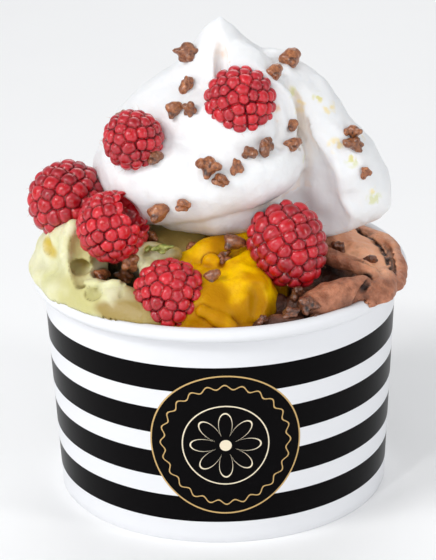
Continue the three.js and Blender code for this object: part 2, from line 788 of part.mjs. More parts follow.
const { pistachioEnd, mangoEnd, split } = BANDS;
const leftBand = band(-Infinity, pistachioEnd - split, PISTACHIO_LEVEL);
const middleBand = band(pistachioEnd + split, mangoEnd - split, MANGO_LEVEL);
const rightBand = band(mangoEnd + split, Infinity, CHOCOLATE_LEVEL);

const creamField = clearOfBerries(blend(pile(CREAM), pile(CREAM_WING), CREAM_SEAM));
const inCup = (field) => without(overlap(clearOfBerries(field), room), creamField);
const pistachioField = inCup(pile(PISTACHIO, leftBand));
const mangoField = without(inCup(pile(MANGO, middleBand)), pistachioField);
const besideMango = without(inCup(pile(CHOCOLATE, rightBand)), mangoField);
const chocolateField = without(besideMango, pistachioField);

const cream = foodSolid(creamSkin, creamField, "cream", berrySolids);
const around = [rimRoom(), cream, ...berrySolids];
const pistachio = foodSolid(gelatoSkin, pistachioField, "pistachio", around);
const mango = foodSolid(gelatoSkin, mangoField, "mango", [...around, pistachio]);
const chocolate = foodSolid(gelatoSkin, chocolateField, "chocolate", [...around, pistachio, mango]);

addMesh("cup_wall", wallGeometry(), COLOURS.paper, 0.45);
addMesh("cup_floor", floorGeometry(), COLOURS.paper, 0.6);
addMesh("gelato_pistachio", toGeometry(pistachio), COLOURS.pistachio, 0.5);
addMesh("gelato_mango", toGeometry(mango), COLOURS.mango, 0.4);
addMesh("gelato_chocolate", toGeometry(chocolate), COLOURS.chocolate, 0.55);
addMesh("whipped_cream", toGeometry(cream), COLOURS.cream, 0.5);
berries.forEach(({ geometry }, i) => {
  addMesh(`raspberry_${i + 1}`, geometry, COLOURS.raspberry, 0.35);
});

export default part;
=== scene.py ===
"""A paper cup of gelato: three flavours, a swirl of whipped cream, raspberries and crunch pieces.

The foods' forms are distance fields in millimetres: rounded strands and ellipsoids that are laid on
each other or carved out, and then skinned with a fine net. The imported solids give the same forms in
plain facets, and each piece here stands for one or more of them.
"""

import logging
import math
from dataclasses import dataclass
from enum import Enum
from itertools import product
from typing import Callable, Optional, Protocol, Sequence

import bpy
import numpy as np
from mathutils import Matrix, Vector


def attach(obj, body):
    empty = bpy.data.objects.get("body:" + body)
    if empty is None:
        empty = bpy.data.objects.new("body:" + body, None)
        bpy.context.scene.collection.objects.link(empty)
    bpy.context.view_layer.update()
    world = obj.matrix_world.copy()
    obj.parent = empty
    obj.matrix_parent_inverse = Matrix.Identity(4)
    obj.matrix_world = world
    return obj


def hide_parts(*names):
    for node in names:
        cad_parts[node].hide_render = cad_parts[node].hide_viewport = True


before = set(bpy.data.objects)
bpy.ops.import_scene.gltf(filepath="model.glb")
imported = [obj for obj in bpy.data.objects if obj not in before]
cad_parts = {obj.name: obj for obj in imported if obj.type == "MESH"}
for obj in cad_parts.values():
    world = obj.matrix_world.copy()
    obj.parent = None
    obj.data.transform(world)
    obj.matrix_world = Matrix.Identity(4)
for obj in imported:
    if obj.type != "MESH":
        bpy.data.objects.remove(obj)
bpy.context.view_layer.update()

log = logging.getLogger("gelato_cup")

MM = 0.001
COARSE = 1.0
TINY = 1e-9
FAR = 1e3  # millimetres, further off than anything here
Colour = tuple[float, float, float]
Distance = Callable[[np.ndarray], np.ndarray]
# where the seeds of the numbered pieces start
SEATS, TONES, HAIRS, LUMPS, BUMPS = 100, 200, 300, 400, 500


def tint(red: int, green: int, blue: int) -> Colour:
    """A screen colour, from 0 to 255, as the linear colour that a shader takes.

    Args:
        red, green, blue: the channels, from 0 to 255.

    Returns:
        The linear colour.
    """
    def linear(channel: int) -> float:
        """One channel, made linear."""
        share = channel / 255
        return share / 12.92 if share <= 0.04045 else ((share + 0.055) / 1.055) ** 2.4

    return linear(red), linear(green), linear(blue)


# ------------------------------------------------------------------ sizes shared by the pieces


@dataclass(frozen=True)
class CupSizes:
    """The paper cup's sizes, in millimetres."""

    height: float = 60.0
    foot_radius: float = 42.6
    flare: float = 0.05
    wall: float = 0.6
    rim_radius: float = 46.55
    roll_radius: float = 1.85
    roll_sweep: float = 5.2
    roll_tuck: float = 0.35
    floor_level: float = 6.6
    fold_height: float = 6.1
    skirt: float = 0.5
    slit: float = 0.15
    clearance: float = 0.1

    def outer(self, level: np.ndarray | float) -> np.ndarray | float:
        """The wall's outside radius at a height."""
        return self.foot_radius + self.flare * level

    def inner(self, level: np.ndarray | float) -> np.ndarray | float:
        """The wall's inside radius at a height."""
        return self.outer(level) - self.wall

    @property
    def roll_level(self) -> float:
        """The height of the rolled rim's centre line."""
        return self.height - self.roll_radius


CUP = CupSizes()


# ------------------------------------------------------------------ distance fields


def soften(a: np.ndarray, b: np.ndarray, softness: float) -> np.ndarray:
    """The nearer of two distances, with the crease between them filled.

    Args:
        a, b: two distances.
        softness: how wide the filling is, in millimetres.

    Returns:
        The joined distance.
    """
    near = np.maximum(softness - np.abs(a - b), 0) / softness
    return np.minimum(a, b) - near * near * softness / 4


class Form(Protocol):
    """A simple form with a distance field, and how it meets what was laid before it."""

    soft: float
    carves: bool

    def distance(self, points: np.ndarray) -> np.ndarray:
        """The distance from each point to the form, negative inside."""

    def box(self) -> tuple[np.ndarray, np.ndarray]:
        """The lowest and highest corner of a box round the form."""


@dataclass(frozen=True)
class Blob:
    """An ellipsoid."""

    centre: tuple[float, float, float]
    radii: tuple[float, float, float]
    soft: float = 1.0
    carves: bool = False

    def distance(self, points: np.ndarray) -> np.ndarray:
        """The distance from each point to the ellipsoid, negative inside."""
        offset = points - np.array(self.centre)
        radii = np.array(self.radii)
        scaled = np.linalg.norm(offset / radii, axis=-1)
        slope = np.linalg.norm(offset / radii**2, axis=-1)
        inside = -radii.min()
        return np.where(slope > TINY, scaled * (scaled - 1) / np.maximum(slope, TINY), inside)

    def box(self) -> tuple[np.ndarray, np.ndarray]:
        """The lowest and highest corner of a box round the ellipsoid."""
        return np.array(self.centre) - self.radii, np.array(self.centre) + self.radii


@dataclass(frozen=True)
class Strand:
    """A rounded strand that runs smoothly through stations (x, y, z, radius)."""

    stations: tuple[tuple[float, float, float, float], ...]
    soft: float = 1.0
    carves: bool = False
    steps: int = 4

    def beads(self) -> np.ndarray:
        """Points along the strand's curve, each with its radius."""
        given = np.array(self.stations, float)
        ends = np.vstack([2 * given[0] - given[1], given, 2 * given[-1] - given[-2]])
        beads = []
        for i in range(1, len(ends) - 2):
            a, b, c, d = (ends[i + k, :3] for k in (-1, 0, 1, 2))
            for j in range(self.steps):
                t = j / self.steps
                at = b + (c - a) * t / 2 + (2 * a - 5 * b + 4 * c - d) * t**2 / 2
                at = at + (3 * b - 3 * c + d - a) * t**3 / 2
                beads.append([*at, ends[i, 3] + (ends[i + 1, 3] - ends[i, 3]) * t])
        beads.append(list(ends[-2]))
        return np.array(beads)

    def distance(self, points: np.ndarray) -> np.ndarray:
        """The distance from each point to the strand, negative inside."""
        beads = self.beads()
        nearest = np.full(points.shape[:-1], np.inf)
        for start, end in zip(beads[:-1], beads[1:]):
            run = end[:3] - start[:3]
            offset = points - start[:3]
            t = np.clip(offset @ run / (run @ run), 0, 1)
            gap = np.linalg.norm(offset - t[..., None] * run, axis=-1)
            nearest = np.minimum(nearest, gap - start[3] - t * (end[3] - start[3]))
        return nearest

    def box(self) -> tuple[np.ndarray, np.ndarray]:
        """The lowest and highest corner of a box round the strand."""
        beads = self.beads()
        reach = beads[:, 3:].max(initial=0)
        return beads[:, :3].min(axis=0) - reach, beads[:, :3].max(axis=0) + reach


@dataclass(frozen=True)
class Band:
    """A band of the cup's filling between two lines across it, level at the wall and domed inside.

    Attributes:
        start, end: how far to the right the band starts and ends, in millimetres.
        level: how high the cup is filled at its wall.
        turn: how far the two lines are turned from straight to the back.
        dome: the mound that the filling rises to in the middle.
        wall_gap: the room that is left to the wall.
    """

    start: float
    end: float
    level: float
    turn: float = math.radians(-21)
    dome: Blob = Blob((2, 8, 58), (36, 33, 17))
    wall_gap: float = 0.05

    def distance(self, points: np.ndarray) -> np.ndarray:
        """The distance from each point to the band, negative inside."""
        across = math.cos(self.turn) * points[..., 0] + math.sin(self.turn) * points[..., 1]
        top = np.minimum(points[..., 2] - self.level, self.dome.distance(points))
        side = np.hypot(points[..., 0], points[..., 1]) - CUP.inner(self.level) + self.wall_gap
        return np.maximum.reduce([self.start - across, across - self.end, top, side])


def room_in_cup(points: np.ndarray) -> np.ndarray:
    """The distance to the room inside the cup and over its rim, negative inside it.

    Args:
        points: the points, in millimetres.

    Returns:
        The distances.
    """
    across = np.hypot(points[..., 0], points[..., 1])
    level = points[..., 2]
    side = np.where(level < CUP.roll_level, across - CUP.inner(level) - CUP.clearance, -np.inf)
    roll = CUP.roll_radius - np.hypot(across - CUP.rim_radius, level - CUP.roll_level)
    floor = CUP.floor_level + CUP.skirt + CUP.clearance - level
    return np.maximum.reduce([side, roll, floor])


def pile(forms: Sequence[Form], base: Optional[Distance] = None) -> Distance:
    """The field of forms that are laid on a base, or carved out, one after another.

    Args:
        forms: the forms in order.
        base: the field of what they are laid on.

    Returns:
        The field of the whole.
    """
    boxes = [form.box() for form in forms]

    def distance(points: np.ndarray) -> np.ndarray:
        """The distance from each point to the pile."""
        flat = points.reshape(-1, 3)
        whole = np.full(len(flat), FAR) if base is None else base(flat)
        for form, (low, high) in zip(forms, boxes):
            apart = np.linalg.norm(np.maximum(np.maximum(low - flat, flat - high), 0), axis=-1)
            side = -1 if form.carves else 1
            near = apart < side * whole + form.soft
            whole[near] = side * soften(side * whole[near], form.distance(flat[near]), form.soft)
        return whole.reshape(points.shape[:-1])

    return distance


@dataclass(frozen=True)
class Grain:
    """Smooth random unevenness, from -1 to 1, with lumps of a given size in millimetres."""

    size: float
    seed: int

    TURN = np.array([[0.8, 0.36, -0.48], [-0.6, 0.48, -0.64], [0.0, 0.8, 0.6]])
    SHIFT = 17.3
    MIXERS = (73856093, 19349663, 83492791)
    STIRS = (1274126177, 60493)
    KEPT = 0x7FFFFFFF

    def at(self, points: np.ndarray) -> np.ndarray:
        """The unevenness at each point."""
        scaled = points @ self.TURN / self.size + self.SHIFT * self.seed
        cell = np.floor(scaled).astype(np.int64)
        share = scaled - cell
        share = share * share * share * (share * (share * 6 - 15) + 10)
        total = np.zeros(points.shape[:-1])
        for corner in product((0, 1), repeat=3):
            at = cell + np.array(corner)
            x, y, z = (at[..., a] * mixer for a, mixer in enumerate(self.MIXERS))
            mixed = ((x ^ y ^ z ^ self.seed) * self.STIRS[0]) & self.KEPT
            mixed = ((mixed ^ (mixed >> 13)) * self.STIRS[1]) & self.KEPT
            weight = np.prod(np.where(np.array(corner) == 1, share, 1 - share), axis=-1)
            total += weight * (((mixed >> 8) & 0xFFFF) / 32767.5 - 1)
        return total


# ------------------------------------------------------------------ skins over fields


def ends_along(axis: int) -> tuple[tuple[slice, ...], tuple[slice, ...]]:
    """The parts of a grid without its last, and without its first, layer along one axis."""
    head, tail = slice(None, -1), slice(1, None)
    return (tuple(head if a == axis else slice(None) for a in range(3)),
            tuple(tail if a == axis else slice(None) for a in range(3)))


@dataclass(frozen=True)
class Net:
    """A grid over a field, and the closed skin that it gives: one point for each crossed cell.

    Attributes:
        xs, ys, zs: the places of the grid's lines, in millimetres.
        block: how many lines a first, coarse reading of the field skips.
        margin: how far from the surface, in coarse cells, the field is then read exactly.
        batch: how many points are read at a time.
    """

    xs: np.ndarray
    ys: np.ndarray
    zs: np.ndarray
    block: int = 4
    margin: float = 1.25
    batch: int = 400_000

    @staticmethod
    def over(low: Sequence[float], high: Sequence[float], step: float) -> "Net":
        """A net of even steps over a box.

        Args:
            low: the box's lowest corner.
            high: its highest corner.
            step: the distance between grid lines.

        Returns:
            The net.
        """
        step *= COARSE
        return Net(*(np.arange(a, b + step, step) for a, b in zip(low, high)))

    def _coarse(self, lines: np.ndarray) -> np.ndarray:
        """The places of every few grid lines, the last one among them."""
        return np.unique(np.append(np.arange(0, len(lines), self.block), len(lines) - 1))

    def values(self, distance: Distance) -> np.ndarray:
        """The field at the grid's corners, exact only near the surface.

        Args:
            distance: the field.

        Returns:
            The values, as an array over the grid.
        """
        axes = (self.xs, self.ys, self.zs)
        picks = [self._coarse(lines) for lines in axes]
        coarse_axes = [lines[pick] for lines, pick in zip(axes, picks)]
        coarse = distance(np.stack(np.meshgrid(*coarse_axes, indexing="ij"), axis=-1))
        spans = [np.diff(lines).max() for lines in coarse_axes]
        near = np.abs(coarse) < self.margin * math.hypot(*spans)
        for axis in range(3):
            head, tail = ends_along(axis)
            spread = near.copy()
            spread[tail] |= near[head]
            spread[head] |= near[tail]
            near = spread
        block = []
        for pick, lines in zip(picks, axes):
            under = np.searchsorted(pick, np.arange(len(lines)), side="right") - 1
            block.append(np.clip(under, 0, len(pick) - 1))
        chosen = np.ix_(*block)
        values = coarse[chosen].copy()
        places = np.argwhere(near[chosen])
        for start in range(0, len(places), self.batch):
            part = places[start : start + self.batch]
            points = np.stack([lines[part[:, a]] for a, lines in enumerate(axes)], axis=-1)
            values[part[:, 0], part[:, 1], part[:, 2]] = distance(points)
        return values

    def skin(self, distance: Distance) -> tuple[np.ndarray, np.ndarray]:
        """The closed skin where the field is nought.

        Args:
            distance: the field.

        Returns:
            The points in millimetres, and the four corners of each face.
        """
        values = self.values(distance)
        axes = (self.xs, self.ys, self.zs)
        cells = tuple(n - 1 for n in values.shape)
        inside = values < 0
        total = np.zeros((int(np.prod(cells)), 3))
        count = np.zeros(int(np.prod(cells)))
        quads = []
        for axis in range(3):
            head, tail = ends_along(axis)
            edges = np.argwhere(inside[head] != inside[tail])
            ends = edges.copy()
            ends[:, axis] += 1
            first = values[tuple(edges.T)]
            second = values[tuple(ends.T)]
            at = np.stack([axes[a][edges[:, a]] for a in range(3)], axis=-1)
            far = axes[axis][ends[:, axis]]
            at[:, axis] += (far - at[:, axis]) * first / (first - second)
            u, v = (axis + 1) % 3, (axis + 2) % 3
            around = []
            for du, dv in ((0, 0), (1, 0), (1, 1), (0, 1)):
                cell = edges.copy()
                cell[:, u] -= du
                cell[:, v] -= dv
                valid = np.all((cell >= 0) & (cell < np.array(cells)), axis=1)
                flat = np.ravel_multi_index(np.clip(cell, 0, np.array(cells) - 1).T, cells)
                around.append(np.where(valid, flat, -1))
                for a in range(3):
                    total[:, a] += np.bincount(flat[valid], at[valid, a], minlength=len(total))
                count += np.bincount(flat[valid], minlength=len(count))
            face = np.stack(around, axis=-1)
            leaving = inside[tuple(edges.T)]
            face = np.where(leaving[:, None], face, face[:, ::-1])
            quads.append(face[np.all(face >= 0, axis=1)])
        used = np.flatnonzero(count)
        renumber = np.full(len(count), -1)
        renumber[used] = np.arange(len(used))
        points = total[used] / count[used, None]
        return points, renumber[np.vstack(quads)]


def slopes(distance: Distance, points: np.ndarray, probe: float = 0.15) -> np.ndarray:
    """The outward direction of a field at points.

    Args:
        distance: the field.
        points: the points.
        probe: how far to each side the field is read.

    Returns:
        A unit direction for each point.
    """
    corners = np.array([[1, -1, -1], [-1, -1, 1], [-1, 1, -1], [1, 1, 1]])
    rise = sum(distance(points + corner * probe)[..., None] * corner for corner in corners)
    return rise / np.maximum(np.linalg.norm(rise, axis=-1, keepdims=True), TINY)


def settle(distance: Distance, points: np.ndarray, passes: int = 1, reach: float = 0.3,
           share: float = 0.9) -> np.ndarray:
    """Moves points onto a field's surface.

    Args:
        distance: the field.
        points: the points.
        passes: how often they are moved.
        reach: the furthest that a point moves in one pass.
        share: how much of its way a point goes in one pass.

    Returns:
        The moved points.
    """
    for _ in range(passes):
        step = np.clip(distance(points), -reach, reach)
        points = points - slopes(distance, points) * step[..., None] * share
    return points


def openness(distance: Distance, points: np.ndarray, depth: float) -> np.ndarray:
    """How open the surface is at each point: near 1 on flats and ridges, near 0 in a crease.

    Args:
        distance: the field.
        points: points on its surface.
        depth: how far out the field is read, in millimetres.

    Returns:
        The openness, from 0 to 1.
    """
    return np.clip(distance(points + slopes(distance, points) * depth) / depth, 0, 1)


# ------------------------------------------------------------------ meshes


def new_piece(name: str, points: np.ndarray, faces: Sequence[Sequence[int]]) -> bpy.types.Object:
    """A smooth mesh object from points in millimetres.

    Args:
        name: the piece's name.
        points: its points.
        faces: the corners of each face.

    Returns:
        The object, at the origin.
    """
    mesh = bpy.data.meshes.new(name)
    mesh.from_pydata((points * MM).tolist(), [], [list(face) for face in faces])
    mesh.polygons.foreach_set("use_smooth", [True] * len(mesh.polygons))
    mesh.update()
    piece = bpy.data.objects.new(name, mesh)
    bpy.context.scene.collection.objects.link(piece)
    return piece


def paint(piece: bpy.types.Object, name: str, values: np.ndarray) -> None:
    """Stores one number for each point of a mesh, for its finish to read.

    Args:
        piece: the piece.
        name: the attribute's name.
        values: the numbers.
    """
    attribute = piece.data.attributes.new(name, "FLOAT", "POINT")
    attribute.data.foreach_set("value", np.asarray(values, np.float32))


def dress(piece: bpy.types.Object, material: bpy.types.Material, slot: str,
          *nodes: str) -> bpy.types.Object:
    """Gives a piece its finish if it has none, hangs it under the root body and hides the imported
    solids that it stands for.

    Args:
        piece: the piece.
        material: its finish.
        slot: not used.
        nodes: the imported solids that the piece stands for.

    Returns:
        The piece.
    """
    if not piece.data.materials:
        piece.data.materials.append(material)
    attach(piece, "root")
    if nodes:
        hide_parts(*nodes)
    mesh = piece.data
    log.info("%s: %d points, %d faces", piece.name, len(mesh.vertices), len(mesh.polygons))
    return piece


# ------------------------------------------------------------------ finishes


class PatchKind(Enum):
    """What tints a food, as its mesh names it: smeared syrups and melted gelato, and patches of
    painted shade and painted light.
    """

    MANGO = "mango_stain"
    # on the cream, caramel specks; on the mango, painted golden-brown shade
    CARAMEL_AND_SHADE = "caramel_stain"
    # on the cream, pistachio specks; on the pistachio gelato, painted shade
    PISTACHIO = "pistachio_stain"
    MUSTARD = "mustard_stain"
    # painted shade on the pistachio gelato, under the cream's edge, in a hollow and low at the front
    OLIVE_SHADE = "olive_stain"
    RASPBERRY = "raspberry_stain"
    # painted shade, near black: the pistachio's pocket, and the chocolate's low front and the parts
    # under the cream and a raspberry
    COCOA_SHADE = "cocoa_stain"
    # painted light on the chocolate's top face
    TOP_LIGHT = "milk_stain"


class Recipe:
    """A material's node tree while it is put together."""

    def __init__(self, name: str) -> None:
        """Starts a material with a bare surface shader.

        Args:
            name: the material's name.
        """
        self.material = bpy.data.materials.new(name)
        self.material.use_nodes = True
        self.tree = self.material.node_tree
        self.surface = self.tree.nodes["Principled BSDF"]
        self._place: Optional[bpy.types.NodeSocket] = None

    def add(self, kind: str, settings: Optional[dict] = None, **inputs: object) -> bpy.types.Node:
        """Adds a node.

        Args:
            kind: the node's type.
            settings: properties to set on it.
            inputs: values or sockets for its inputs, with _ for a space in a name.

        Returns:
            The node.
        """
        node = self.tree.nodes.new(kind)
        for key, value in (settings or {}).items():
            setattr(node, key, value)
        for key, value in inputs.items():
            self.put(node, key.replace("_", " "), value)
        return node

    def put(self, node: bpy.types.Node, name: str | int, value: object) -> None:
        """Sets an input of a node, or links a socket to it.

        Args:
            node: the node.
            name: the input's name or number.
            value: a socket, number or colour.
        """
        socket = node.inputs[name]
        if isinstance(value, bpy.types.NodeSocket):
            self.tree.links.new(value, socket)
        elif isinstance(value, tuple) and len(value) == 3 and socket.type == "RGBA":
            socket.default_value = (*value, 1)
        else:
            socket.default_value = value

    def base(self, **values: object) -> None:
        """Sets the surface shader's own inputs, with _ for a space in a name."""
        for key, value in values.items():
            self.put(self.surface, key.replace("_", " "), value)

    @property
    def place(self) -> bpy.types.NodeSocket:
        """The place on the object, in metres."""
        if self._place is None:
            self._place = self.add("ShaderNodeTexCoord").outputs["Object"]
        return self._place

    def noise(self, size: float, detail: float = 2.0, rough: float = 0.5) -> bpy.types.NodeSocket:
        """Soft cloudy noise.

        Args:
            size: the size of its clouds, in millimetres.
            detail: how many finer layers it has.
            rough: how strong they are.

        Returns:
            Its value, from 0 to 1.
        """
        node = self.add("ShaderNodeTexNoise", Vector=self.place, Scale=1 / (size * MM),
                        Detail=detail, Roughness=rough)
        return node.outputs["Fac"]

    def stored(self, name: str) -> bpy.types.NodeSocket:
        """A number that the mesh carries at each point."""
        return self.add("ShaderNodeAttribute", {"attribute_name": name}).outputs["Fac"]

    def spread(self, value: bpy.types.NodeSocket, low: float, high: float,
               to_low: float = 0.0, to_high: float = 1.0) -> bpy.types.NodeSocket:
        """A value stretched from one range to another, and held inside it.

        Args:
            value: the value.
            low, high: the range that it comes from.
            to_low, to_high: the range that it goes to.

        Returns:
            The stretched value.
        """
        node = self.add("ShaderNodeMapRange", {"interpolation_type": "SMOOTHSTEP"}, Value=value)
        limits = {"From Min": low, "From Max": high, "To Min": to_low, "To Max": to_high}
        for name, number in limits.items():
            node.inputs[name].default_value = number
        return node.outputs["Result"]

    def sum(self, operation: str, *terms: object) -> bpy.types.NodeSocket:
        """What an operation such as "ADD" or "MULTIPLY" makes of numbers or sockets."""
        node = self.add("ShaderNodeMath", {"operation": operation})
        for i, term in enumerate(terms):
            self.put(node, i, term)
        return node.outputs["Value"]

    def mix(self, share: object, first: object, second: object) -> bpy.types.NodeSocket:
        """A blend of two colours.

        Args:
            share: how much of the second there is.
            first, second: the colours.

        Returns:
            The blend.
        """
        node = self.add("ShaderNodeMix", {"data_type": "RGBA"})
        for i, value in ((0, share), (6, first), (7, second)):
            self.put(node, i, value)
        return node.outputs[2]

    def relief(self, height: bpy.types.NodeSocket, depth: float) -> None:
        """Raises the surface by a height.

        Args:
            height: the height, from 0 to 1.
            depth: what 1 stands for, in millimetres.
        """
        node = self.add("ShaderNodeBump", Height=height, Strength=1.0, Distance=depth * MM)
        self.put(self.surface, "Normal", node.outputs["Normal"])


@dataclass(frozen=True)
class CreamFinish:
    """Whipped cream: white satin, with a warmer painted shade in its creases."""

    light: Colour = tint(232, 233, 234)
    # painted shade: the warmer, slightly darker tone laid in the creases
    crease: Colour = tint(234, 222, 210)
    mango: Colour = tint(240, 214, 120)
    caramel: Colour = tint(226, 170, 110)
    pistachio: Colour = tint(206, 208, 128)
    strongest_stain: float = 0.6
    rough: float = 0.4
    shine: float = 0.45
    milky: float = 0.35
    glow: Colour = (1.0, 0.9, 0.8)
    glow_reach: float = 3.0
    bubbles: float = 0.09

    def make(self) -> bpy.types.Material:
        """The material."""
        recipe = Recipe("whipped_cream")
        shade = recipe.spread(recipe.stored("open"), 0.15, 0.85)
        cloud = recipe.noise(9, 3)
        # painted shade in the creases, broken up by a cloud
        crease_shade = recipe.sum("MULTIPLY", recipe.sum("SUBTRACT", 1.0, shade),
                          recipe.spread(cloud, 0.3, 0.7, 0.5, 1))
        skin = recipe.mix(crease_shade, self.light, self.crease)
        for patch_kind, colour in ((PatchKind.MANGO, self.mango), (PatchKind.CARAMEL_AND_SHADE, self.caramel),
                              (PatchKind.PISTACHIO, self.pistachio)):
            patch_share = recipe.spread(recipe.stored(patch_kind.value), 0.1, 0.6, 0, self.strongest_stain)
            skin = recipe.mix(patch_share, skin, colour)
        recipe.base(
            Base_Color=skin, Roughness=self.rough, Specular_IOR_Level=self.shine,
            Subsurface_Weight=self.milky, Subsurface_Radius=self.glow,
            Subsurface_Scale=self.glow_reach * MM,
        )
        height = recipe.sum("ADD", recipe.noise(0.9, 3),
                            recipe.sum("MULTIPLY", recipe.noise(4.5, 2), 2.0))
        recipe.relief(height, self.bubbles)
        return recipe.material


@dataclass(frozen=True)
class GelatoFinish:
    """Gelato: a moist, slightly translucent mass with clouds of two tones, and painted shade in its
    creases.

    Attributes:
        name: the material's name.
        light, dark: the tones of its clouds.
        crease: the painted shade laid in its creases.
        glow: how far light of each channel runs inside it.
        rough, shine: how dull, and how reflective, its surface is.
        pores: how deep its pores are, in millimetres.
        cloud: how large its clouds are, in millimetres.
        colour_patches: its smeared syrups and its patches of painted shade and painted light, each
            with its colour.
        milky, glow_reach: how cloudy it is, and how far light runs in it, in millimetres.
    """

    name: str
    light: Colour
    dark: Colour
    crease: Colour
    glow: Colour
    rough: float = 0.34
    pores: float = 0.12
    shine: float = 0.35
    cloud: float = 6.0
    colour_patches: tuple[tuple[PatchKind, Colour], ...] = ()
    milky: float = 0.3
    glow_reach: float = 1.6

    def make(self) -> bpy.types.Material:
        """The material."""
        recipe = Recipe(self.name)
        clouds = recipe.spread(recipe.noise(self.cloud, 4, 0.55), 0.3, 0.7)
        mass = recipe.mix(clouds, self.light, self.dark)
        # smeared syrups, and patches of painted shade and painted light
        for patch_kind, colour in self.colour_patches:
            patch_share = recipe.spread(recipe.stored(patch_kind.value), 0.05, 0.45, 0, 0.9)
            mass = recipe.mix(patch_share, mass, colour)
        # painted shade: the crease colour is laid where the surface is least open
        shade = recipe.spread(recipe.stored("open"), 0.1, 0.9)
        recipe.base(
            Base_Color=recipe.mix(shade, self.crease, mass),
            Roughness=self.rough, Specular_IOR_Level=self.shine,
            Subsurface_Weight=self.milky, Subsurface_Radius=self.glow,
            Subsurface_Scale=self.glow_reach * MM,
        )
        height = recipe.sum("ADD", recipe.noise(0.7, 4, 0.6),
                            recipe.sum("MULTIPLY", recipe.noise(3.2, 3), 1.6))
        recipe.relief(height, self.pores)
        return recipe.material


@dataclass(frozen=True)
class RaspberryFinish:
    """Raspberry: glossy, translucent red, with a painted pale highlight round each drupelet and
    painted shade in the valleys between drupelets.
    """

    light: Colour = tint(202, 8, 22)
    full: Colour = tint(126, 0, 8)
    # painted highlight: the pale pink laid round each drupelet's edge
    rim: Colour = tint(236, 112, 134)
    # painted shade laid in the creases and on the lines between drupelets
    valley_shade: Colour = tint(92, 2, 10)
    rim_highlight_share: float = 0.15
    rough: float = 0.3
    shine: float = 0.3
    juicy: float = 0.15
    glow: Colour = (1.0, 0.15, 0.15)
    glow_reach: float = 0.8
    coat: float = 0.4
    coat_rough: float = 0.05

    def make(self) -> bpy.types.Material:
        """The material."""
        recipe = Recipe("raspberry")
        skin = recipe.mix(recipe.stored("tone"), self.full, self.light)
        clouds = recipe.spread(recipe.noise(1.1, 2), 0.35, 0.75, 0, 0.35)
        skin = recipe.mix(clouds, skin, self.light)
        edge = recipe.stored("edge")
        # painted highlight on a band near each drupelet's edge
        rim = recipe.sum("MULTIPLY", recipe.spread(edge, 0.12, 0.3),
                         recipe.spread(edge, 0.3, 0.75, 1, 0))
        skin = recipe.mix(recipe.sum("MULTIPLY", rim, self.rim_highlight_share), skin, self.rim)
        # painted shade in the creases and on the lines between drupelets
        shade = recipe.sum("MINIMUM", recipe.spread(recipe.stored("open"), 0.1, 0.9, 0.15, 1),
                           recipe.spread(edge, 0.0, 0.11, 0.55, 1))
        recipe.base(
            Base_Color=recipe.mix(shade, self.valley_shade, skin),
            Roughness=self.rough, Specular_IOR_Level=self.shine,
            Subsurface_Weight=self.juicy, Subsurface_Radius=self.glow,
            Subsurface_Scale=self.glow_reach * MM,
            Coat_Weight=self.coat, Coat_Roughness=self.coat_rough,
        )
        recipe.relief(recipe.noise(0.35, 3), 0.03)
        return recipe.material


@dataclass(frozen=True)
class CrunchFinish:
    """Crunch pieces: baked caramel brown, with painted shade in their pits, and a dull gloss."""

    name: str = "crunch"
    light: Colour = tint(194, 124, 76)
    brown: Colour = tint(138, 78, 44)
    # burnt spots and darker pieces, and also the painted shade in the pits
    dark: Colour = tint(54, 24, 12)
    tone_share: float = 0.45
    rough: float = 0.32
    coat: float = 0.45
    coat_rough: float = 0.18

    def make(self) -> bpy.types.Material:
        """The material."""
        recipe = Recipe(self.name)
        baked = recipe.spread(recipe.noise(0.9, 4, 0.6), 0.35, 0.7)
        skin = recipe.mix(baked, self.brown, self.light)
        burnt = recipe.spread(recipe.noise(0.5, 2), 0.55, 0.75, 0, 0.7)
        skin = recipe.mix(burnt, skin, self.dark)
        tone = recipe.sum("MULTIPLY", recipe.stored("tone"), self.tone_share)
        skin = recipe.mix(tone, skin, self.dark)
        # painted shade: the dark tone laid in the pits
        skin = recipe.mix(recipe.spread(recipe.stored("open"), 0.2, 0.85), self.dark, skin)
        recipe.base(
            Base_Color=skin, Roughness=self.rough, Specular_IOR_Level=0.5,
            Coat_Weight=self.coat, Coat_Roughness=self.coat_rough,
        )
        recipe.relief(recipe.sum("ADD", recipe.noise(0.35, 4, 0.65), recipe.noise(0.9, 2)), 0.14)
        return recipe.material


@dataclass(frozen=True)
class NutFinish:
    """Chopped pistachio nut: green, with paler cut faces."""

    light: Colour = tint(168, 170, 92)
    green: Colour = tint(104, 116, 44)

    def make(self) -> bpy.types.Material:
        """The material."""
        recipe = Recipe("pistachio_nut")
        clouds = recipe.spread(recipe.noise(1.0, 4, 0.6), 0.35, 0.7)
        recipe.base(Base_Color=recipe.mix(clouds, self.green, self.light), Roughness=0.45)
        recipe.relief(recipe.noise(0.4, 4, 0.6), 0.1)
        return recipe.material


@dataclass(frozen=True)
class PlainFinish:
    """A single tone with a fine cloud in it, for small trim, plain paper and the floor."""

    name: str
    tone: Colour
    second: Colour
    rough: float = 0.5
    cloud: float = 3.0

    def make(self) -> bpy.types.Material:
        """The material."""
        recipe = Recipe(self.name)
        skin = recipe.mix(recipe.noise(self.cloud, 4), self.tone, self.second)
        recipe.base(Base_Color=skin, Roughness=self.rough)
        recipe.relief(recipe.noise(0.4, 3), 0.02)
        return recipe.material


